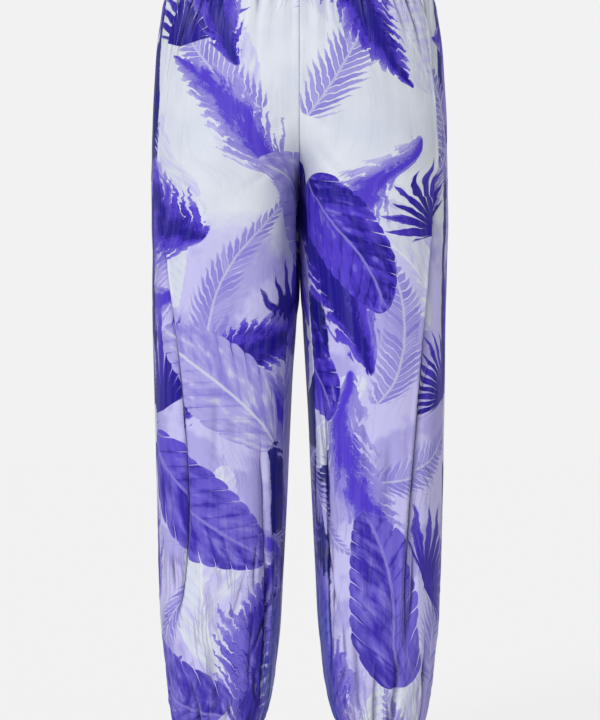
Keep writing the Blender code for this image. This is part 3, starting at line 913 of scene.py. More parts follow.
def leaf_values(leaves, across, height):
    """For each layer, each point's place on its leaf: along it from 0 to 1, across it from -1 to 1, both as
    shares, then the leaf's tone, and 1 where there is a leaf at all."""
    points = np.stack([across.ravel(), height.ravel()], axis=1)
    values = {row[0]: np.tile((-1.0, 4.0, 0.0, 0.0), (len(points), 1)) for row in KINDS}
    nearest = {row[0]: np.full(len(points), LEAF_MARGIN) for row in KINDS}
    for layer, leaf in leaves:
        off = points - leaf["start"]
        ahead, across_leaf = off @ leaf["axis"], off @ leaf["side"]
        if layer == "fan":  # here half is the half angle that the fan opens to
            away = np.hypot(ahead, across_leaf)
            along, aside = away / leaf["length"], np.arctan2(across_leaf, ahead) / leaf["half"]
            beyond = np.maximum((np.abs(aside) - 1) * leaf["half"] * away, away - leaf["length"])
        else:
            along = ahead / leaf["length"]
            bow = 4 * leaf["bend"] * leaf["length"] * along * (1 - along)
            aside = (across_leaf - bow) / leaf["half"]
            past_end = (np.abs(along - 0.5) - 0.5) * leaf["length"]
            beyond = np.maximum((np.abs(aside) - 1) * leaf["half"], past_end)
        near = beyond < nearest[layer]
        nearest[layer][near] = beyond[near]
        values[layer][near] = np.stack(
            [along[near], aside[near], np.full(near.sum(), leaf["tone"]), np.ones(near.sum())], axis=1
        )
    return values


# ---- Materials ----


class Wiring:
    """A material's nodes, put together by short calls. A value is a number, a colour or another node's output."""

    def __init__(self, name):
        self.material = bpy.data.materials.new(name)
        self.material.use_nodes = True
        self.tree = self.material.node_tree
        self.shader = self.tree.nodes["Principled BSDF"]

    def node(self, kind, inputs=(), **settings):
        node = self.tree.nodes.new(kind)
        for name, value in settings.items():
            setattr(node, name, value)
        for socket, value in dict(inputs).items():
            self.put(node.inputs[socket], value)
        return node

    def put(self, socket, value):
        if isinstance(value, bpy.types.NodeSocket):
            self.tree.links.new(value, socket)
        else:
            socket.default_value = value

    def math(self, operation, *values, clamp=False):
        node = self.node("ShaderNodeMath", operation=operation, use_clamp=clamp)
        for socket, value in zip(node.inputs, values, strict=False):
            self.put(socket, value)
        return node.outputs[0]

    def add(self, a, b):
        return self.math("ADD", a, b)

    def less(self, a, b):
        return self.math("SUBTRACT", a, b)

    def times(self, a, b):
        return self.math("MULTIPLY", a, b)

    def swing(self, value, width):
        """A value from 0 to 1 as a swing to both sides of nothing, so wide in all."""
        return self.times(self.less(value, 0.5), width)

    def ease(self, value, start, end):
        """0 at start, 1 at end, and eased between them."""
        node = self.node("ShaderNodeMapRange", interpolation_type="SMOOTHSTEP")
        for socket, given in zip(node.inputs, (value, start, end, 0.0, 1.0), strict=False):
            self.put(socket, given)
        return node.outputs[0]

    def mix(self, share, a, b, kind="MIX"):
        node = self.node("ShaderNodeMix", data_type="RGBA", blend_type=kind)
        for socket, value in (("Factor_Float", share), ("A_Color", a), ("B_Color", b)):
            self.put(next(s for s in node.inputs if s.identifier == socket), value)
        return next(s for s in node.outputs if s.identifier == "Result_Color")

    def values(self, name):
        """What set_values kept: three parts and a fourth."""
        node = self.node("ShaderNodeAttribute", attribute_name=name)
        parts = self.node("ShaderNodeSeparateColor", {"Color": node.outputs["Color"]})
        return (*parts.outputs[:3], node.outputs["Alpha"])

    def vector(self, x, y, z=0.0):
        return self.node("ShaderNodeCombineXYZ", {"X": x, "Y": y, "Z": z}).outputs[0]

    def noise(self, vector, scale, detail=2.0, roughness=0.5):
        inputs = {"Vector": vector, "Scale": scale, "Detail": detail, "Roughness": roughness}
        return self.node("ShaderNodeTexNoise", inputs).outputs["Fac"]

    def chance(self, value):
        """A random number from 0 to 1 for each whole number."""
        return self.node("ShaderNodeTexWhiteNoise", {"W": value}, noise_dimensions="1D").outputs["Value"]

    def bump(self, height, strength, distance, over=None):
        inputs = {"Height": height, "Strength": strength, "Distance": distance}
        if over is not None:
            inputs["Normal"] = over
        return self.node("ShaderNodeBump", inputs).outputs["Normal"]

    def surface(self, inputs):
        """Sets the shader's own sockets, and gives the finished material."""
        for name, value in inputs.items():
            self.put(self.shader.inputs[name], value)
        return self.material


def outline(w, along, power, fullness):
    """How wide a leaf is at a place along it, from 0 at both ends to 1 at its widest."""
    bounded = w.math("MINIMUM", w.math("MAXIMUM", along, 0.0), 1.0)
    swing = w.math("SINE", w.times(w.math("POWER", bounded, power), math.pi))
    return w.math("MAXIMUM", w.math("POWER", w.math("MAXIMUM", swing, 0.0), fullness), 0.001)


def leaf_parts(w, layer, power, fullness):
    """What a leaf is drawn from: the place along it, how far off its stem, that as a share of the leaf's width
    there, 1 on its right side, its tone, and 1 inside its ends."""
    along, aside, tone, there = w.values(layer)
    far = w.math("ABSOLUTE", aside)
    share = w.math("DIVIDE", far, outline(w, along, power, fullness))
    right = w.math("GREATER_THAN", aside, 0.0)
    inside = w.times(w.ease(there, 0.985, 0.999), w.times(w.ease(along, 0.0, 0.012), w.ease(along, 1.0, 0.99)))
    return along, far, share, right, tone, inside


def brushed(w, first, second, tone, scale):
    """Dry brush streaks, which run along the second value."""
    return w.noise(w.vector(w.times(first, 9.0), w.times(second, 1.1), w.times(tone, 31.0)), scale, 4.0, 0.62)


def slanted(w, along, far, right, count, slant, shift):
    """Counts the leaflets along a leaf's stem, slanting to its tip, those on the right a little further on."""
    return w.add(w.less(w.times(along, count), w.times(far, slant)), w.times(right, shift))


def leaflets(w, place, tone, by_tone, right=None, by_side=0.0):
    """How far each point is from its own leaflet's middle, up to 0.5, and a random number for each leaflet."""
    lot = w.add(w.math("FLOOR", place), w.times(tone, by_tone))
    if right is not None:
        lot = w.add(lot, w.times(right, by_side))
    return w.math("ABSOLUTE", w.less(w.math("FRACT", place), 0.5)), w.chance(lot)


def tapered(w, ends, width, power):
    """A leaflet's width, which narrows to nothing at its tip."""
    return w.less(width, w.times(w.math("POWER", w.math("MAXIMUM", ends, 0.0), power), width))


def feather_leaf(w, layer, colours, count, slant, power, fullness, gap):
    """A leaf of many leaflets on both sides of a stem: its mask and its colour."""
    deep, light, tip = colours
    along, far, share, right, tone, inside = leaf_parts(w, layer, power, fullness)
    place = slanted(w, along, far, right, count, slant, 0.45)
    place = w.add(place, w.swing(w.noise(w.vector(along, far, tone), 5.0, 1.0), 0.9))
    off, lot = leaflets(w, place, tone, 571.0, right, 37.0)
    reach = w.add(0.70, w.times(lot, 0.30))
    ends = w.math("DIVIDE", share, reach)
    width = w.times(w.less(1.0, w.math("POWER", ends, 2.6)), gap)
    leaflet = w.ease(w.less(width, off), -0.015, 0.035)
    stem = w.times(w.ease(far, 0.05, 0.025), w.ease(along, 0.98, 0.9))
    mask = w.times(w.math("MAXIMUM", leaflet, stem), inside)
    streak = brushed(w, off, share, w.add(tone, lot), 1.6)
    shade = w.add(w.times(streak, 0.85), w.swing(lot, 0.55))
    shade = w.ease(w.add(shade, w.times(w.ease(off, 0.0, 0.4), -0.12)), 0.22, 0.72)
    colour = w.mix(shade, deep, light)
    colour = w.mix(w.times(w.ease(ends, 0.62, 1.0), w.times(streak, 0.9)), colour, tip)
    colour = w.mix(w.times(stem, 0.55), colour, tip)
    return mask, colour


def veined_leaf(w, layer, colours, count, slant, power, fullness, tears):
    """A broad leaf with slanting veins, torn here and there from its edge: its mask and its colour."""
    deep, light, tip = colours
    along, far, share, right, tone, inside = leaf_parts(w, layer, power, fullness)
    place = slanted(w, along, far, right, count, slant, 0.3)
    off, lot = leaflets(w, place, tone, 311.0, right, 17.0)
    edge = w.less(1.0, w.times(w.times(off, off), 0.22))
    body = w.ease(w.less(edge, share), -0.005, 0.02)
    tear = w.ease(w.less(w.add(off, w.times(share, 0.16)), 0.6), -0.01, 0.01)
    torn = w.times(w.math("GREATER_THAN", lot, tears), tear)
    mask = w.times(w.times(body, w.less(1.0, torn)), inside)
    vein = w.times(w.ease(off, 0.43, 0.495), w.ease(share, 1.0, 0.75))
    rib = w.times(w.ease(far, 0.045, 0.02), w.ease(along, 1.0, 0.9))
    streak = brushed(w, place, share, w.add(tone, lot), 0.9)
    patch = w.noise(w.vector(w.times(place, 0.8), w.times(share, 2.2), w.times(tone, 17.0)), 1.5, 2.0)
    shade = w.add(w.times(streak, 0.3), w.add(w.times(patch, 0.9), w.swing(right, 0.14)))
    shade = w.less(shade, w.times(w.ease(off, 0.2, 0.5), 0.10))
    colour = w.mix(w.ease(w.add(shade, w.swing(lot, 0.2)), 0.34, 0.70), deep, light)
    colour = w.mix(w.times(w.ease(patch, 0.56, 0.72), 0.6), colour, tip)
    colour = w.mix(w.times(vein, 0.5), colour, deep)
    colour = w.mix(w.times(rib, 0.75), colour, tip)
    return mask, colour


def plume_leaf(w, layer, colours, count, slant, power, fullness):
    """A big soft leaf in wet paint: dark and whole along its stem, breaking into pale loose fingers at its
    edges. Gives its mask and its colour."""
    deep, light, tip = colours
    along, far, share, right, tone, inside = leaf_parts(w, layer, power, fullness)
    loose = w.noise(w.vector(w.times(along, 3.0), w.times(far, 1.6), w.times(tone, 31.0)), 2.6, 3.0, 0.6)
    wobble = w.less(loose, 0.5)
    place = slanted(w, along, far, right, count, slant, 0.45)
    place = w.add(place, w.times(wobble, 2.4))
    off, lot = leaflets(w, place, tone, 571.0, right, 37.0)
    ends = w.math("DIVIDE", w.add(share, w.times(wobble, 0.12)), w.add(0.60, w.times(lot, 0.40)))
    width = tapered(w, ends, 0.57, 2.8)
    mask = w.times(w.ease(w.less(width, off), -0.015, 0.03), inside)
    streak = brushed(w, off, share, w.add(tone, lot), 1.3)
    wet = w.noise(w.vector(w.times(along, 5.0), w.times(far, 2.0), w.times(tone, 13.0)), 1.7, 3.0, 0.6)
    shade = w.add(w.times(ends, 0.95), w.swing(streak, 1.25))
    shade = w.add(shade, w.add(w.swing(lot, 0.35), w.swing(wet, 1.0)))
    shade = w.add(shade, w.swing(right, 0.18))
    colour = w.mix(w.ease(shade, 0.22, 0.50), deep, light)
    colour = w.mix(w.ease(shade, 0.55, 1.05), colour, tip)
    return w.times(mask, w.less(1.0, w.times(w.ease(shade, 0.8, 1.3), 0.35))), colour


def fan_leaf(w, layer, colours, count):
    """A leaf of pointed blades that spread from one place: its mask and its colour."""
    deep, light, tip = colours
    along, aside, tone, there = w.values(layer)
    bent = w.noise(w.vector(w.times(along, 2.0), w.times(aside, 1.5), w.times(tone, 31.0)), 2.0)
    place = w.add(w.times(aside, count), w.swing(bent, 0.9))
    off, lot = leaflets(w, place, tone, 571.0)
    rim = w.add(0.62, w.add(w.times(lot, 0.24), w.times(w.less(1.0, w.times(aside, aside)), 0.14)))
    ends = w.math("DIVIDE", along, rim)
    width = tapered(w, ends, 0.56, 2.2)
    edge = w.ease(w.math("ABSOLUTE", aside), 0.99, 0.95)
    mask = w.times(w.ease(w.less(width, off), -0.01, 0.04), w.times(edge, w.ease(there, 0.985, 0.999)))
    streak = brushed(w, off, w.times(along, 1.6), w.add(tone, lot), 1.3)
    shade = w.add(w.times(ends, 0.45), w.add(w.swing(streak, 1.1), w.swing(lot, 0.4)))
    colour = w.mix(w.ease(shade, 0.12, 0.60), deep, light)
    return mask, w.mix(w.ease(shade, 0.6, 1.0), colour, tip)


# the dark colour multiplied in as painted shade, in the creases' hollows and along their lines
CREASE_SHADE = (0.22, 0.20, 0.34, 1.0)
SATIN_SPECULAR = 0.16
CASING_SHEEN = 0.16


def printed_satin(name, colours):
    """The printed face of the cloth: a washed ground, six layers of leaves, creases with painted shade and
    painted highlights beside them, painted sheen streaks, seams, threads and gloss.
    """
    w = Wiring(name)
    across, height, seam, hollow = w.values("cloth")
    lavender, tinted, navy, _ = w.values("wash")
    flat = w.vector(w.times(across, 0.01), w.times(height, 0.01))
    cloud = w.noise(flat, 1.1, 3.0, 0.55)
    fringe = w.noise(flat, 5.5, 4.0, 0.6)
    patch = w.ease(w.add(cloud, w.swing(fringe, 0.12)), 0.47, 0.56)
    ground = w.mix(w.ease(cloud, 0.3, 0.72), colours.ice, colours.mist)
    wash = w.mix(patch, colours.pale_lavender, colours.lavender)
    ground = w.mix(w.ease(w.add(lavender, w.swing(fringe, 0.5)), 0.25, 0.75), ground, wash)
    pale = (colours.pale_lavender, colours.mist, colours.ice)
    fern = (colours.mid_lavender, colours.lavender, colours.mist)
    soft = (colours.violet, colours.mid_lavender, colours.lavender)
    lift = w.times(w.ease(height, -540.0, -740.0), 0.42)  # the lower leaves are painted more lightly
    deep = (
        w.mix(lift, colours.indigo, colours.violet),
        w.mix(lift, colours.violet, colours.mid_lavender),
        colours.mid_lavender,
    )
    lighter = w.math("GREATER_THAN", w.values("broad_leaf")[2], 0.6)
    broad = [w.mix(lighter, dark, light) for dark, light in zip(deep, fern, strict=True)]
    layers = (
        veined_leaf(w, "pale_leaf", pale, count=17.0, slant=3.2, power=0.85, fullness=0.62, tears=0.62),
        feather_leaf(w, "fern", fern, count=21.0, slant=4.2, power=0.62, fullness=0.7, gap=0.44),
        plume_leaf(w, "soft_plume", soft, count=13.0, slant=3.8, power=0.85, fullness=0.75),
        fan_leaf(w, "fan", deep, count=5.5),
        plume_leaf(w, "plume", deep, count=15.0, slant=4.4, power=0.85, fullness=0.75),
        veined_leaf(w, "broad_leaf", broad, count=10.0, slant=2.6, power=0.8, fullness=0.55, tears=0.42),
    )
    # the dark wash at the panels' edges: print, and along the front's inner edge partly painted shade
    dusk = w.mix(w.ease(fringe, 0.35, 0.7), colours.navy, colours.indigo)
    ground = w.mix(w.ease(w.add(navy, w.swing(fringe, 0.7)), 0.40, 0.60), ground, dusk)
    for mask, colour in layers:
        ground = w.mix(mask, ground, colour)
    tint = w.ease(w.add(tinted, w.swing(fringe, 0.5)), 0.3, 0.9)
    ground = w.mix(w.times(tint, 0.58), ground, colours.blue_tint)
    sheen_streaks = w.noise(w.vector(w.times(across, 0.13), w.times(height, 0.005)), 1.0, 3.0, 0.6)
    # painted sheen: faint pale upright streaks screened over the colour; the same streaks vary the roughness
    ground = w.mix(w.times(w.ease(sheen_streaks, 0.40, 0.75), 0.04), ground, colours.ice, "SCREEN")
    # painted shade: the colour darkens in the creases' hollows, by how deep they lie
    ground = w.mix(w.times(w.ease(hollow, 0.06, 0.9), 0.66), ground, CREASE_SHADE, "MULTIPLY")
    away, strength, creased, _ = w.values("crease")
    fine = fine_creases(w, across, height, creased)
    # painted shade: a dark line along each crease and the fine creases, multiplied into the colour below; they
    # also shape the bump
    valley = w.times(w.ease(w.math("ABSOLUTE", away), 1.7, 0.2), strength)
    # painted highlight: a pale band beside each crease line, where a raised ridge would catch the light; it also
    # shapes the bump
    ridge = w.times(w.ease(w.math("ABSOLUTE", w.less(away, -3.2)), 2.6, 0.0), strength)
    ground = w.mix(w.times(ridge, 0.16), ground, colours.ice)
    ground = w.mix(w.add(w.times(valley, 0.80), w.times(fine, 0.30)), ground, CREASE_SHADE, "MULTIPLY")
    line = w.ease(seam, 0.9, 0.2)
    ground = w.mix(w.times(line, 0.16), ground, colours.navy)
    creases = w.less(w.times(ridge, 0.5), w.add(valley, w.times(fine, 0.6)))
    normal = satin_surface(w, across, height, seam, creases)
    roughness = w.add(0.34, w.times(sheen_streaks, 0.12))
    gloss = {"Roughness": roughness, "Specular IOR Level": SATIN_SPECULAR}
    return w.surface({"Base Color": ground, "Normal": normal} | gloss)


def fine_creases(w, across, height, amount):
    """Thin creases that wander down the cloth and come and go, from 0 to 1, where the amount lets them. The
    material bumps them and darkens the colour along them as painted shade.
    """
    drift = w.noise(w.vector(w.times(across, 0.016), w.times(height, 0.009)), 1.0, 2.0)
    total = 0.0
    for spacing, length, seed in ((15.0, 150.0, 0.0), (8.0, 70.0, 40.0)):
        bent = w.add(w.times(across, 1 / spacing), w.times(drift, 26 / spacing))
        field = w.noise(w.vector(bent, w.times(height, 1 / length), seed), 1.0, 1.0)
        patches = w.noise(w.vector(w.times(across, 0.022), w.times(height, 0.012), seed + 9), 1.0, 1.0)
        line = w.ease(w.math("ABSOLUTE", w.less(field, 0.5)), 0.5 / spacing, 0.0)
        total = w.math("MAXIMUM", total, w.times(line, w.ease(patches, 0.46, 0.62)))
    return w.times(total, amount)


def satin_surface(w, across, height, seam, creases):
    """The bumps of fine threads, the puckers beside a seam and the thin creases."""
    threads = w.noise(w.vector(w.times(across, 3.1), w.times(height, 0.22)), 1.0, 2.0, 0.6)
    waves = w.noise(w.vector(w.times(seam, 0.06), w.times(height, 0.24)), 1.0, 1.0)
    pucker = w.times(waves, w.ease(seam, 11.0, 0.5))
    woven = w.bump(threads, 0.16, 0.0003)
    return w.bump(creases, 0.8, 0.0011, over=w.bump(pucker, 0.45, 0.0016, over=woven))


def reverse_satin(name, colour, darker):
    """The cloth's unprinted side, where a little of the print shows through."""
    w = Wiring(name)
    across, height, _, _ = w.values("cloth")
    flat = w.vector(w.times(across, 0.012), w.times(height, 0.006))
    ground = w.mix(w.ease(w.noise(flat, 1.6, 3.0), 0.3, 0.75), colour, darker)
    threads = w.noise(w.vector(w.times(across, 3.1), w.times(height, 0.3)), 1.0, 2.0)
    return w.surface({"Base Color": ground, "Roughness": 0.6, "Normal": w.bump(threads, 0.12, 0.0003)})


def casing_satin(name, colour, deeper, violet):
    """The casings' cloth, gathered close over their elastic: washed, with a few brushed marks."""
    w = Wiring(name)
    along, height, _, _ = w.values("cloth")
    flat = w.vector(w.times(along, 0.02), w.times(height, 0.03))
    cloud = w.noise(flat, 1.3, 3.0, 0.55)
    marks = w.noise(w.vector(w.times(along, 0.035), w.times(height, 0.012)), 1.5, 4.0, 0.62)
    base = w.mix(w.ease(cloud, 0.35, 0.65), colour, deeper)
    base = w.mix(w.times(w.ease(marks, 0.56, 0.66), 0.7), base, violet)
    threads = w.noise(w.vector(w.times(along, 2.4), w.times(height, 0.3)), 1.0, 2.0)
    gloss = {"Roughness": w.add(0.4, w.times(cloud, 0.12)), "Sheen Weight": CASING_SHEEN}
    return w.surface({"Base Color": base, "Normal": w.bump(threads, 0.15, 0.0003)} | gloss)


def sewing_thread(name, colour):
    """Twisted thread."""
    w = Wiring(name)
    place = w.node("ShaderNodeTexCoord").outputs["Object"]
    twist = w.noise(place, 900.0, 2.0)
    darker = (*[0.7 * c for c in colour[:3]], 1)
    shade = w.mix(w.ease(twist, 0.3, 0.7), colour, darker)
    return w.surface({"Base Color": shade, "Roughness": 0.5, "Normal": w.bump(twist, 0.3, 0.0002)})


# ---- The pieces ----

PRINT_SEEDS = {("left", "front"): 440, ("right", "front"): 232, ("left", "back"): 115, ("right", "back"): 122}
WASH_SEEDS = {"front": 61, "back": 67}


def washes(leg, place, across, height, share):
    """Where the ground turns from ice to lavender, takes a blue tint, or runs dark at a panel's edge: the dark
    edge is print, and along the front's inner edge partly painted shade.
    """
    seed = WASH_SEEDS[place] + (leg.side == "left")
    rough = soft_noise(across / 48, height / 70, seed)
    lavender = smooth(height + 26 * rough, -300, -440)
    edge = share if place == "front" else 1 - share  # 0 at the inner seam, 1 at the side seam
    blue = smooth(height + 30 * rough, -680, -920) * smooth(edge + 0.05 * rough, 0.34, 0.08)
    ragged = 0.5 * rough + 0.5 * soft_noise(across / 17, height / 31, seed + 9)
    if place == "front":
        # along the front's inner edge, where the legs face each other, the dark wash is partly print and partly
        # painted shade
        inner = smooth(edge + 0.05 * ragged, 0.22, 0.13) * smooth(height + 20 * ragged, -400, -470)
        outer = smooth(edge + 0.03 * ragged, 0.92, 0.97) * smooth(height, -30, -90)
        outer *= smooth(height, -600, -540)
        navy = np.maximum(inner, outer)
    else:
        strip = smooth(edge + 0.07 * ragged, 0.78, 0.90) * smooth(height, -40, -120)
        inner = smooth(edge + 0.06 * ragged, 0.26, 0.12) * smooth(height, -380, -430)
        navy = np.maximum(strip, inner)
    return np.stack([lavender, blue, navy, np.ones_like(navy)], axis=-1)


def add_leg_panel(side, place, sizes, materials):
    """One printed leg panel, as a closed thin wall."""
    leg = leg_form(side)
    span = leg.span(place)
    outer, out = leg.outer[:, span].copy(), leg.out[:, span]
    inner = outer - out * sizes.cloth_thickness / MM
    draw_in(outer)
    draw_in(inner)
    faces = placed(side, outer), placed(side, inner)
    piece = shell(f"{place}_leg_{side}_cloth", *faces, closed=False, flip=side == "right")
    length = leg.lengths[:, 0 if place == "front" else 1]
    run = leg.along[:, span] - (0 if place == "front" else leg.lengths[:, :1])
    share = run / length[:, None]
    middle = float(np.max(length)) / 2
    # the print lies straight down the middle of the panel, and jumps where a fold hides some of the cloth
    jump = leg.jump[:, span]
    across = run - length[:, None] / 2 + middle + jump - (jump.max() if place == "front" else 0)
    height = leg.z[:, span]
    seam = np.minimum(run, length[:, None] - run)
    cloth = np.stack([across, height, seam, leg.hollow[:, span]], axis=-1).reshape(-1, 4)
    wash = washes(leg, place, across, height, share).reshape(-1, 4)
    leaves = toss(place, PRINT_SEEDS[side, place], 2 * middle)
    layers = leaf_values(leaves, across, height)
    lower, waist = smooth(height, -560, -800), smooth(height, -150, -30)
    sides = 0.5 * smooth(share if place == "front" else 1 - share, 0.72, 0.95)
    creased = np.maximum(np.maximum(0.2 + 0.8 * lower, waist), sides)
    line, strength = leg.line[:, span], leg.strength[:, span]
    crease = np.stack([line, strength, creased, np.ones_like(creased)], axis=-1).reshape(-1, 4)
    for name, values in (("cloth", cloth), ("wash", wash), ("crease", crease), *layers.items()):
        set_values(piece, name, np.vstack([values, values]))
    for material in materials:
        piece.data.materials.append(material)
    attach(piece, "root")
    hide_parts(f"{place}_leg_{side}")


# a casing's own section, from its sewn edge over its crown, round its fold and down its inner face: how far
# out it lies, and how far along its height, from 0 at the sewn edge to 1 at the fold
CASING_SECTION = (
    (-0.5, 0.000), (0.1, 0.012), (0.3, 0.045), (-0.25, 0.085), (0.3, 0.125), (0.75, 0.22),
    (1.0, 0.36), (1.05, 0.50), (1.0, 0.64), (0.8, 0.78), (0.5, 0.90), (0.1, 0.965),
    (-0.6, 1.0), (-1.5, 1.0), (-2.3, 0.965), (-2.8, 0.88), (-3.1, 0.68), (-3.1, 0.36),
    (-2.9, 0.16), (-2.5, 0.045), (-1.9, 0.0), (-1.2, -0.004),
)  # fmt: skip
CASING_STITCH = 3  # the section's point where its stitches lie
CASING_FOLD = 13  # the section's point where the cloth folds over to the inside
PLEAT_LENGTH = 4.6
PLEAT_DEPTH = 0.62


def casing_edge(pieces, level, pleats):
    """The seam that a casing is sewn to, as evenly spaced points with outward directions and the panels'
    waves, run through several panels."""
    points, outs, waves = [], [], []
    for side, place, turned in pieces:
        leg = leg_form(side)
        span = leg.span(place)
        row = 0 if level == "waist" else -1
        turn = np.array([1 if side == "left" else -1, 1, 1])
        step = -1 if turned else 1
        keep = slice(None) if not points else slice(1, None)
        points.append((leg.smooth_points[row, span] * turn)[::step][keep])
        outs.append((leg.out[row, span] * turn)[::step][keep])
        waves.append(leg.push[row, span][::step][keep])
    points, outs, waves = np.vstack(points), np.vstack(outs), np.concatenate(waves)
    run = run_along(points)
    at = np.linspace(0, run[-1], round(run[-1] / PLEAT_LENGTH * pleats) + 1)
    outs = values_at(at, run, outs)
    outs[:, 2] = 0
    outs /= np.linalg.norm(outs, axis=1)[:, None]
    return values_at(at, run, points), outs, np.interp(at, run, waves), at


def add_casing(node, pieces, level, low_to_high, material):
    """An elastic casing: cloth folded over and gathered close, with a softly crowned section."""
    pleats = 7  # points to a pleat
    closed = level == "ankle"
    points, outs, waves, at = casing_edge(pieces, level, pleats)
    if closed:
        points, outs, waves, at = points[:-1], outs[:-1], waves[:-1], at[:-1]
    name = f"{node}_cloth"
    random = np.random.default_rng(len(name) + int(abs(points[0, 0])))
    phase = 2 * math.pi * at / PLEAT_LENGTH
    drift = np.interp(at, np.linspace(0, at[-1], 40), random.uniform(-1.6, 1.6, 40))
    if closed:
        drift *= np.sin(np.linspace(0, math.pi, len(at)))
        phase = np.linspace(0, 2 * math.pi * round(at[-1] / PLEAT_LENGTH), len(at), endpoint=False)
    lots = np.interp(at, np.linspace(0, at[-1], 60), random.uniform(0.45, 1.3, 60))
    ridge = np.sin(phase + drift) * lots
    ridge = np.where(ridge > 0, ridge, ridge * 1.35)
    start, end = low_to_high
    rings = []
    for k, (off, up) in enumerate(CASING_SECTION):
        crown = math.sin(math.pi * min(max(up, 0.0), 1.0)) ** 0.5 if k < CASING_FOLD else 0.4
        carried = 1.0 - 0.45 * smooth(up, 0.0, 0.3)
        gathered = 1.0 if k < CASING_FOLD + 2 else 0.35  # the inner face lies calmer
        depth = off + carried * waves + PLEAT_DEPTH * (0.25 + crown) * ridge * gathered
        lean = 0.35 * np.interp(at, np.linspace(0, at[-1], 50), random.uniform(-1, 1, 50)) * (not closed)
        ring = points + outs * depth[:, None]
        ring[:, 2] = start + (end - start) * up + lean * crown
        rings.append(ring)
    grid = np.stack(rings)
    if not closed:
        draw_in(grid)
    piece = tube(name, grid, closed, flip=level == "waist")
    rows = grid.shape[0]
    along = np.tile(at, (rows, 1))
    ups = np.array([up for _, up in CASING_SECTION])
    height = np.tile(ups[:, None] * abs(end - start), (1, len(at)))
    set_values(piece, "cloth", np.stack([along, height, along, along], axis=-1).reshape(-1, 4))
    piece.data.materials.append(material)
    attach(piece, "root")
    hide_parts(node)
    return piece


def tube(name, grid, closed, flip):
    """A closed skin over a section's points, swept along a seam. An open sweep gets an end face."""
    rows, columns = grid.shape[:2]
    points = grid.reshape(-1, 3)
    i, j = np.meshgrid(np.arange(rows), np.arange(columns - (not closed)), indexing="ij")
    i, j = i.ravel(), j.ravel()
    up, after = (i + 1) % rows, (j + 1) % columns
    corners = [(i, j, i, j), (i, after, i, j + 1), (up, after, i + 1, j + 1), (up, j, i + 1, j)]
    if flip:
        corners = corners[::-1]
    quads = [np.stack([a * columns + b for a, b, _, _ in corners], axis=1)]
    reach = columns if closed else columns - 1
    uvs = [np.stack([np.stack([0.98 * b / reach, 0.98 * a / rows], axis=1) for _, _, a, b in corners], axis=1)]
    if not closed:
        k = np.arange(rows // 2 - 1)
        share = np.stack([k, k + 1, k + 1, k], axis=1) / len(k) * 0.97
        for column, low in ((0, 0.982), (columns - 1, 0.991)):
            ends = np.stack([k, k + 1, rows - 2 - k, rows - 1 - k], axis=1) * columns + column
            wide = np.tile([low, low, low + 0.007, low + 0.007], (len(k), 1))
            add_faces(quads, uvs, ends, np.stack([wide, share], axis=-1), (column == 0) == flip)
    return add_mesh(name, points, np.concatenate(quads), np.concatenate(uvs))


# ---- Sewing ----

STITCH_SIDES = 6
STITCH_ENDS = ((-0.5, 0.25), (-0.42, 0.85), (0.0, 1.0), (0.42, 0.85), (0.5, 0.25))  # along, and how thick


def stitches_along(line, outs, sizes):
    """Stitches' middles, directions and outward directions, one after another along a line on the cloth."""
    run = run_along(line)
    pitch = (sizes.stitch_length + sizes.stitch_gap) / MM
    at = np.arange(pitch / 2, run[-1], pitch)
    half = sizes.stitch_length / MM / 2
    ahead = values_at(at + half, run, line) - values_at(at - half, run, line)
    ahead /= np.linalg.norm(ahead, axis=1)[:, None]
    out = values_at(at, run, outs)
    out -= ahead * np.sum(out * ahead, axis=1)[:, None]
    out /= np.linalg.norm(out, axis=1)[:, None]
    return values_at(at, run, line), ahead, out


def add_stitches(name, rows, sizes, material):
    """A run of stitches as one joined mesh of small rounded capsules, half sunk in the cloth."""
    runs = [stitches_along(line, outs, sizes) for line, outs in rows]
    middles, ahead, out = (np.concatenate(group) for group in zip(*runs, strict=True))
    aside = np.cross(ahead, out)
    thick = sizes.thread_thickness / MM / 2
    length = sizes.stitch_length / MM
    rings = []
    for along, width in STITCH_ENDS:
        for turn in np.arange(STITCH_SIDES) * 2 * math.pi / STITCH_SIDES:
            dip = -0.55 * thick * (abs(along) > 0.45)
            rings.append(
                middles
                + ahead * (along * length)
                + aside * (math.cos(turn) * thick * width)
                + out * (math.sin(turn) * thick * width + thick * 0.35 + dip)
            )
    points = np.stack(rings, axis=1)
    count, each = points.shape[:2]
    quads = []
    for ring in range(len(STITCH_ENDS) - 1):
        for k in range(STITCH_SIDES):
            a, b = ring * STITCH_SIDES + k, ring * STITCH_SIDES + (k + 1) % STITCH_SIDES
            quads.append((a, b, b + STITCH_SIDES, a + STITCH_SIDES))
    last = each - STITCH_SIDES
    quads += [(3, 2, 1, 0), (5, 4, 3, 0)]
    quads += [(last, last + 1, last + 2, last + 3), (last, last + 3, last + 4, last + 5)]
    quads = (np.array(quads)[None] + np.arange(count)[:, None, None] * each).reshape(-1, 4)
    across = math.ceil(math.sqrt(count))
    cell = np.repeat(np.arange(count), len(quads) // count)
    within = np.tile(np.arange(len(quads) // count), count)
    side = math.ceil(math.sqrt(len(quads) // count))
    corner = np.array([(0, 0), (0.8, 0), (0.8, 0.8), (0, 0.8)])
    origin = np.stack([cell % across + within % side / side, cell // across + within // side / side], axis=1)
    uvs = (origin[:, None] + corner[None] / side) / across
    piece = add_mesh(name, points.reshape(-1, 3), quads, uvs)
    piece.data.materials.append(material)
    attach(piece, "root")


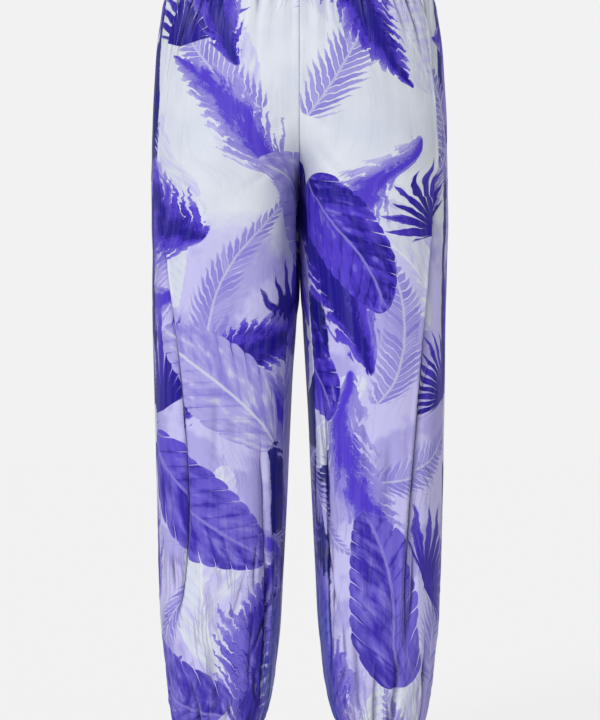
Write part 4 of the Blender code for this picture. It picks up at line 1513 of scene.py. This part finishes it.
def casing_stitch_line(piece):
    """The stitched line on a casing's own surface, and its outward directions."""
    points = np.empty(len(piece.data.vertices) * 3)
    piece.data.vertices.foreach_get("co", points)
    grid = points.reshape(len(CASING_SECTION), -1, 3) / MM
    line = grid[CASING_STITCH]
    across = grid[CASING_STITCH + 1] - grid[CASING_STITCH - 1]
    along = np.gradient(line, axis=0)
    outs = np.cross(along, across)
    centre = line.mean(axis=0)
    outs *= np.sign(np.sum(outs * (line - centre) * (1, 1, 0), axis=1))[:, None]
    return line, outs


def pocket_line(side, inset):
    """A pocket's pressed edge, or a line inside it, on the cloth's surface."""
    leg = leg_form(side)
    distance, share = leg.line_at(*POCKETS[side])
    rows = np.nonzero((share[:, 0] > 0.01) & (share[:, 0] < 0.99))[0]
    span = leg.span("front")
    line, outs = (
        np.concatenate([values_at([-inset], distance[i, span], grid[i, span]) for i in rows])
        for grid in (leg.outer, leg.out)
    )
    if side == "right":
        line[:, 0] *= -1
        outs[:, 0] *= -1
    return line, outs


# ---- The add-on: what a user changes, and what makes each piece ----


def paint(red, green, blue):
    """A colour's linear values from its values on a screen, 0 to 255."""
    shares = [value / 255 for value in (red, green, blue)]
    return (*[((v + 0.055) / 1.055) ** 2.4 if v > 0.04045 else v / 12.92 for v in shares], 1.0)


def colour_property(name, description, *screen):
    """A colour for the user to change, given by its values on a screen."""
    return FloatVectorProperty(
        name=name, description=description, subtype="COLOR", size=4, min=0.0, max=1.0, default=paint(*screen)
    )


class TrouserSizes(bpy.types.PropertyGroup):
    """Sizes of the cloth and the sewing."""

    cloth_thickness: FloatProperty(
        name="Cloth thickness", description="How thick the satin is", default=0.0006, min=0.0003, unit="LENGTH"
    )
    gather_depth: FloatProperty(
        name="Gather depth", description="How deep the waist's and ankles' gathers are", default=1.0,
        subtype="FACTOR",
    )
    crease_depth: FloatProperty(
        name="Crease depth", description="How deep the creases are", default=1.5, subtype="FACTOR"
    )
    stitch_length: FloatProperty(
        name="Stitch length", description="Length of one stitch", default=0.0026, unit="LENGTH"
    )
    stitch_gap: FloatProperty(
        name="Stitch gap", description="Gap between two stitches", default=0.0009, unit="LENGTH"
    )
    thread_thickness: FloatProperty(
        name="Thread thickness", description="How thick the sewing thread is", default=0.0005, unit="LENGTH"
    )


class TrouserColours(bpy.types.PropertyGroup):
    """Colours of the print, the casings and the thread."""

    ice: colour_property("Ice", "The palest ground", 213, 218, 226)
    mist: colour_property("Mist", "The ground's second pale tone", 201, 207, 220)
    pale_lavender: colour_property("Pale lavender", "The lower ground", 188, 184, 228)
    lavender: colour_property("Lavender", "The lower ground's patches", 164, 158, 216)
    mid_lavender: colour_property("Mid lavender", "Leaf tips and ferns", 132, 124, 204)
    violet: colour_property("Violet", "The light side of the deep leaves", 76, 54, 192)
    indigo: colour_property("Indigo", "The dark side of the deep leaves", 27, 13, 134)
    navy: colour_property("Navy", "The dark edges", 26, 32, 104)
    blue_tint: colour_property("Blue tint", "The wash low on the inner legs", 56, 72, 168)
    thread: colour_property("Thread", "The sewing thread", 178, 180, 222)


class TrouserStudio(bpy.types.PropertyGroup):
    """The room's light."""

    backdrop: colour_property("Backdrop", "What is seen behind the trousers", 242, 242, 242)
    fill: FloatProperty(name="Fill", description="Strength of the light from all round", default=0.44)
    key: FloatProperty(name="Key", description="Strength of the front light", default=1.85)
    side: FloatProperty(name="Side", description="Strength of the light from behind, at the sides", default=0.5)


class TROUSERS_OT_leg_panels(bpy.types.Operator):
    """Makes the four printed leg panels"""

    bl_idname = "trousers.leg_panels"
    bl_label = "Leg panels"

    def execute(self, context):
        sizes, colours = context.scene.trouser_sizes, context.scene.trouser_colours
        reverse = reverse_satin("satin_reverse", colours.pale_lavender, colours.lavender)
        for place in ("front", "back"):
            printed = printed_satin(f"satin_print_{place}", colours)
            for side in ("left", "right"):
                add_leg_panel(side, place, sizes, (printed, reverse))
        return {"FINISHED"}


class TROUSERS_OT_casings(bpy.types.Operator):
    """Makes the waistband's two lengths and the ankle casings, with their stitches"""

    bl_idname = "trousers.casings"
    bl_label = "Casings"

    def execute(self, context):
        sizes, colours = context.scene.trouser_sizes, context.scene.trouser_colours
        band = casing_satin("satin_casing_waist", colours.ice, colours.mist, colours.mid_lavender)
        cuff = casing_satin("satin_casing_ankle", colours.pale_lavender, colours.mid_lavender, colours.violet)
        thread = sewing_thread("sewing_thread", colours.thread)
        rows = []
        low_to_high = (-BAND_HEIGHT / 2 + 0.1, BAND_HEIGHT / 2)
        for place in ("front", "back"):
            pieces = (("right", place, place == "front"), ("left", place, place == "back"))
            node = f"waistband_{place}"
            piece = add_casing(node, pieces, "waist", low_to_high, band)
            rows.append(casing_stitch_line(piece))
        add_stitches("waist_stitches", rows, sizes, thread)
        rows = []
        low_to_high = (ANKLE_HEIGHT - SEAM_GAP, ANKLE_HEIGHT - CUFF_HEIGHT)
        for side in ("left", "right"):
            pieces = ((side, "front", False), (side, "back", False))
            piece = add_casing(f"cuff_{side}", pieces, "ankle", low_to_high, cuff)
            rows.append(casing_stitch_line(piece))
        add_stitches("ankle_stitches", rows, sizes, thread)
        return {"FINISHED"}


class TROUSERS_OT_pocket_stitches(bpy.types.Operator):
    """Makes the stitches along the two pocket edges"""

    bl_idname = "trousers.pocket_stitches"
    bl_label = "Pocket stitches"

    def execute(self, context):
        sizes, colours = context.scene.trouser_sizes, context.scene.trouser_colours
        thread = sewing_thread("pocket_thread", colours.thread)
        rows = [pocket_line(side, POCKET_STITCH_INSET) for side in ("left", "right")]
        add_stitches("pocket_stitches", rows, sizes, thread)
        return {"FINISHED"}


FLOOR_HEIGHT = -1.06
FLOOR_RADIUS = 14
FLOOR_GLOW = 0.9
LAMP_COLUMNS = ("name", "strength", "spread", "tilt", "turn")  # the angles in degrees
CAMERA_PLACE = (0.0006, -4.0, -0.519)
CAMERA_LENS = 157.5


class TROUSERS_OT_studio(bpy.types.Operator):
    """Makes the pale floor, the soft light and the camera"""

    bl_idname = "trousers.studio"
    bl_label = "Studio"

    def execute(self, context):
        scene, studio = context.scene, context.scene.trouser_studio
        scene.view_settings.view_transform = "Standard"
        world = bpy.data.worlds.new("studio")
        scene.world = world
        world.use_nodes = True
        tree = world.node_tree
        seen = tree.nodes["Background"]
        seen.inputs["Color"].default_value = studio.backdrop
        around = tree.nodes.new("ShaderNodeBackground")
        around.inputs["Color"].default_value = (1.0, 1.0, 1.0, 1.0)
        around.inputs["Strength"].default_value = studio.fill
        choice, path = tree.nodes.new("ShaderNodeMixShader"), tree.nodes.new("ShaderNodeLightPath")
        tree.links.new(path.outputs["Is Camera Ray"], choice.inputs[0])
        tree.links.new(around.outputs[0], choice.inputs[1])
        tree.links.new(seen.outputs[0], choice.inputs[2])
        tree.links.new(choice.outputs[0], tree.nodes["World Output"].inputs["Surface"])

        bpy.ops.mesh.primitive_circle_add(
            vertices=96, radius=FLOOR_RADIUS, fill_type="NGON", location=(0, 0, FLOOR_HEIGHT)
        )
        floor = context.object
        floor.name = "floor"
        paper = Wiring("pale_floor")
        grain = paper.noise(paper.node("ShaderNodeTexCoord").outputs["Object"], 40.0)
        tone = paper.mix(grain, (0.10, 0.10, 0.10, 1), (0.11, 0.11, 0.11, 1))
        glow = {"Emission Color": studio.backdrop, "Emission Strength": FLOOR_GLOW}
        matt = {"Base Color": tone, "Roughness": 1.0, "Specular IOR Level": 0.0}
        floor.data.materials.append(paper.surface(matt | glow))
        floor.visible_glossy = False

        for row in (
            ("key", studio.key, 16, 60, -26),
            ("side_left", studio.side, 60, 80, 150),
            ("side_right", studio.side, 60, 80, -150),
        ):
            lit = named(LAMP_COLUMNS, row)
            light = bpy.data.lights.new(lit["name"], "SUN")
            light.energy, light.angle = lit["strength"], math.radians(lit["spread"])
            lamp = bpy.data.objects.new(lit["name"], light)
            lamp.rotation_euler = (math.radians(lit["tilt"]), 0, math.radians(lit["turn"]))
            lamp.visible_glossy = lit["name"] == "key"
            scene.collection.objects.link(lamp)

        view = bpy.data.cameras.new("view")
        view.lens, view.sensor_width = CAMERA_LENS, 36.0
        camera = bpy.data.objects.new("view", view)
        camera.location = CAMERA_PLACE
        camera.rotation_euler = (math.radians(90), 0, 0)
        scene.collection.objects.link(camera)
        scene.camera = camera
        return {"FINISHED"}


class TROUSERS_PT_panel(bpy.types.Panel):
    """Lists what the add-on makes, and the sizes and colours behind it"""

    bl_idname = "TROUSERS_PT_panel"
    bl_label = "Satin trousers"
    bl_space_type = "VIEW_3D"
    bl_region_type = "UI"
    bl_category = "Trousers"

    def draw(self, context):
        for group in ("trouser_sizes", "trouser_colours", "trouser_studio"):
            box = self.layout.box()
            settings = getattr(context.scene, group)
            for name in settings.bl_rna.properties.keys():
                if name not in ("rna_type", "name"):
                    box.prop(settings, name)
        for operator in OPERATORS:
            self.layout.operator(operator.bl_idname)


OPERATORS = (TROUSERS_OT_studio, TROUSERS_OT_leg_panels, TROUSERS_OT_casings, TROUSERS_OT_pocket_stitches)
GROUPS = {"trouser_sizes": TrouserSizes, "trouser_colours": TrouserColours, "trouser_studio": TrouserStudio}


def register():
    for cls in (*GROUPS.values(), *OPERATORS, TROUSERS_PT_panel):
        bpy.utils.register_class(cls)
    for name, group in GROUPS.items():
        setattr(bpy.types.Scene, name, PointerProperty(type=group))


def unregister():
    for name in GROUPS:
        delattr(bpy.types.Scene, name)
    for cls in reversed((*GROUPS.values(), *OPERATORS, TROUSERS_PT_panel)):
        bpy.utils.unregister_class(cls)


def main():
    register()
    bpy.ops.trousers.studio()
    bpy.ops.trousers.leg_panels()
    bpy.ops.trousers.casings()
    bpy.ops.trousers.pocket_stitches()


if __name__ == "__main__":
    main()
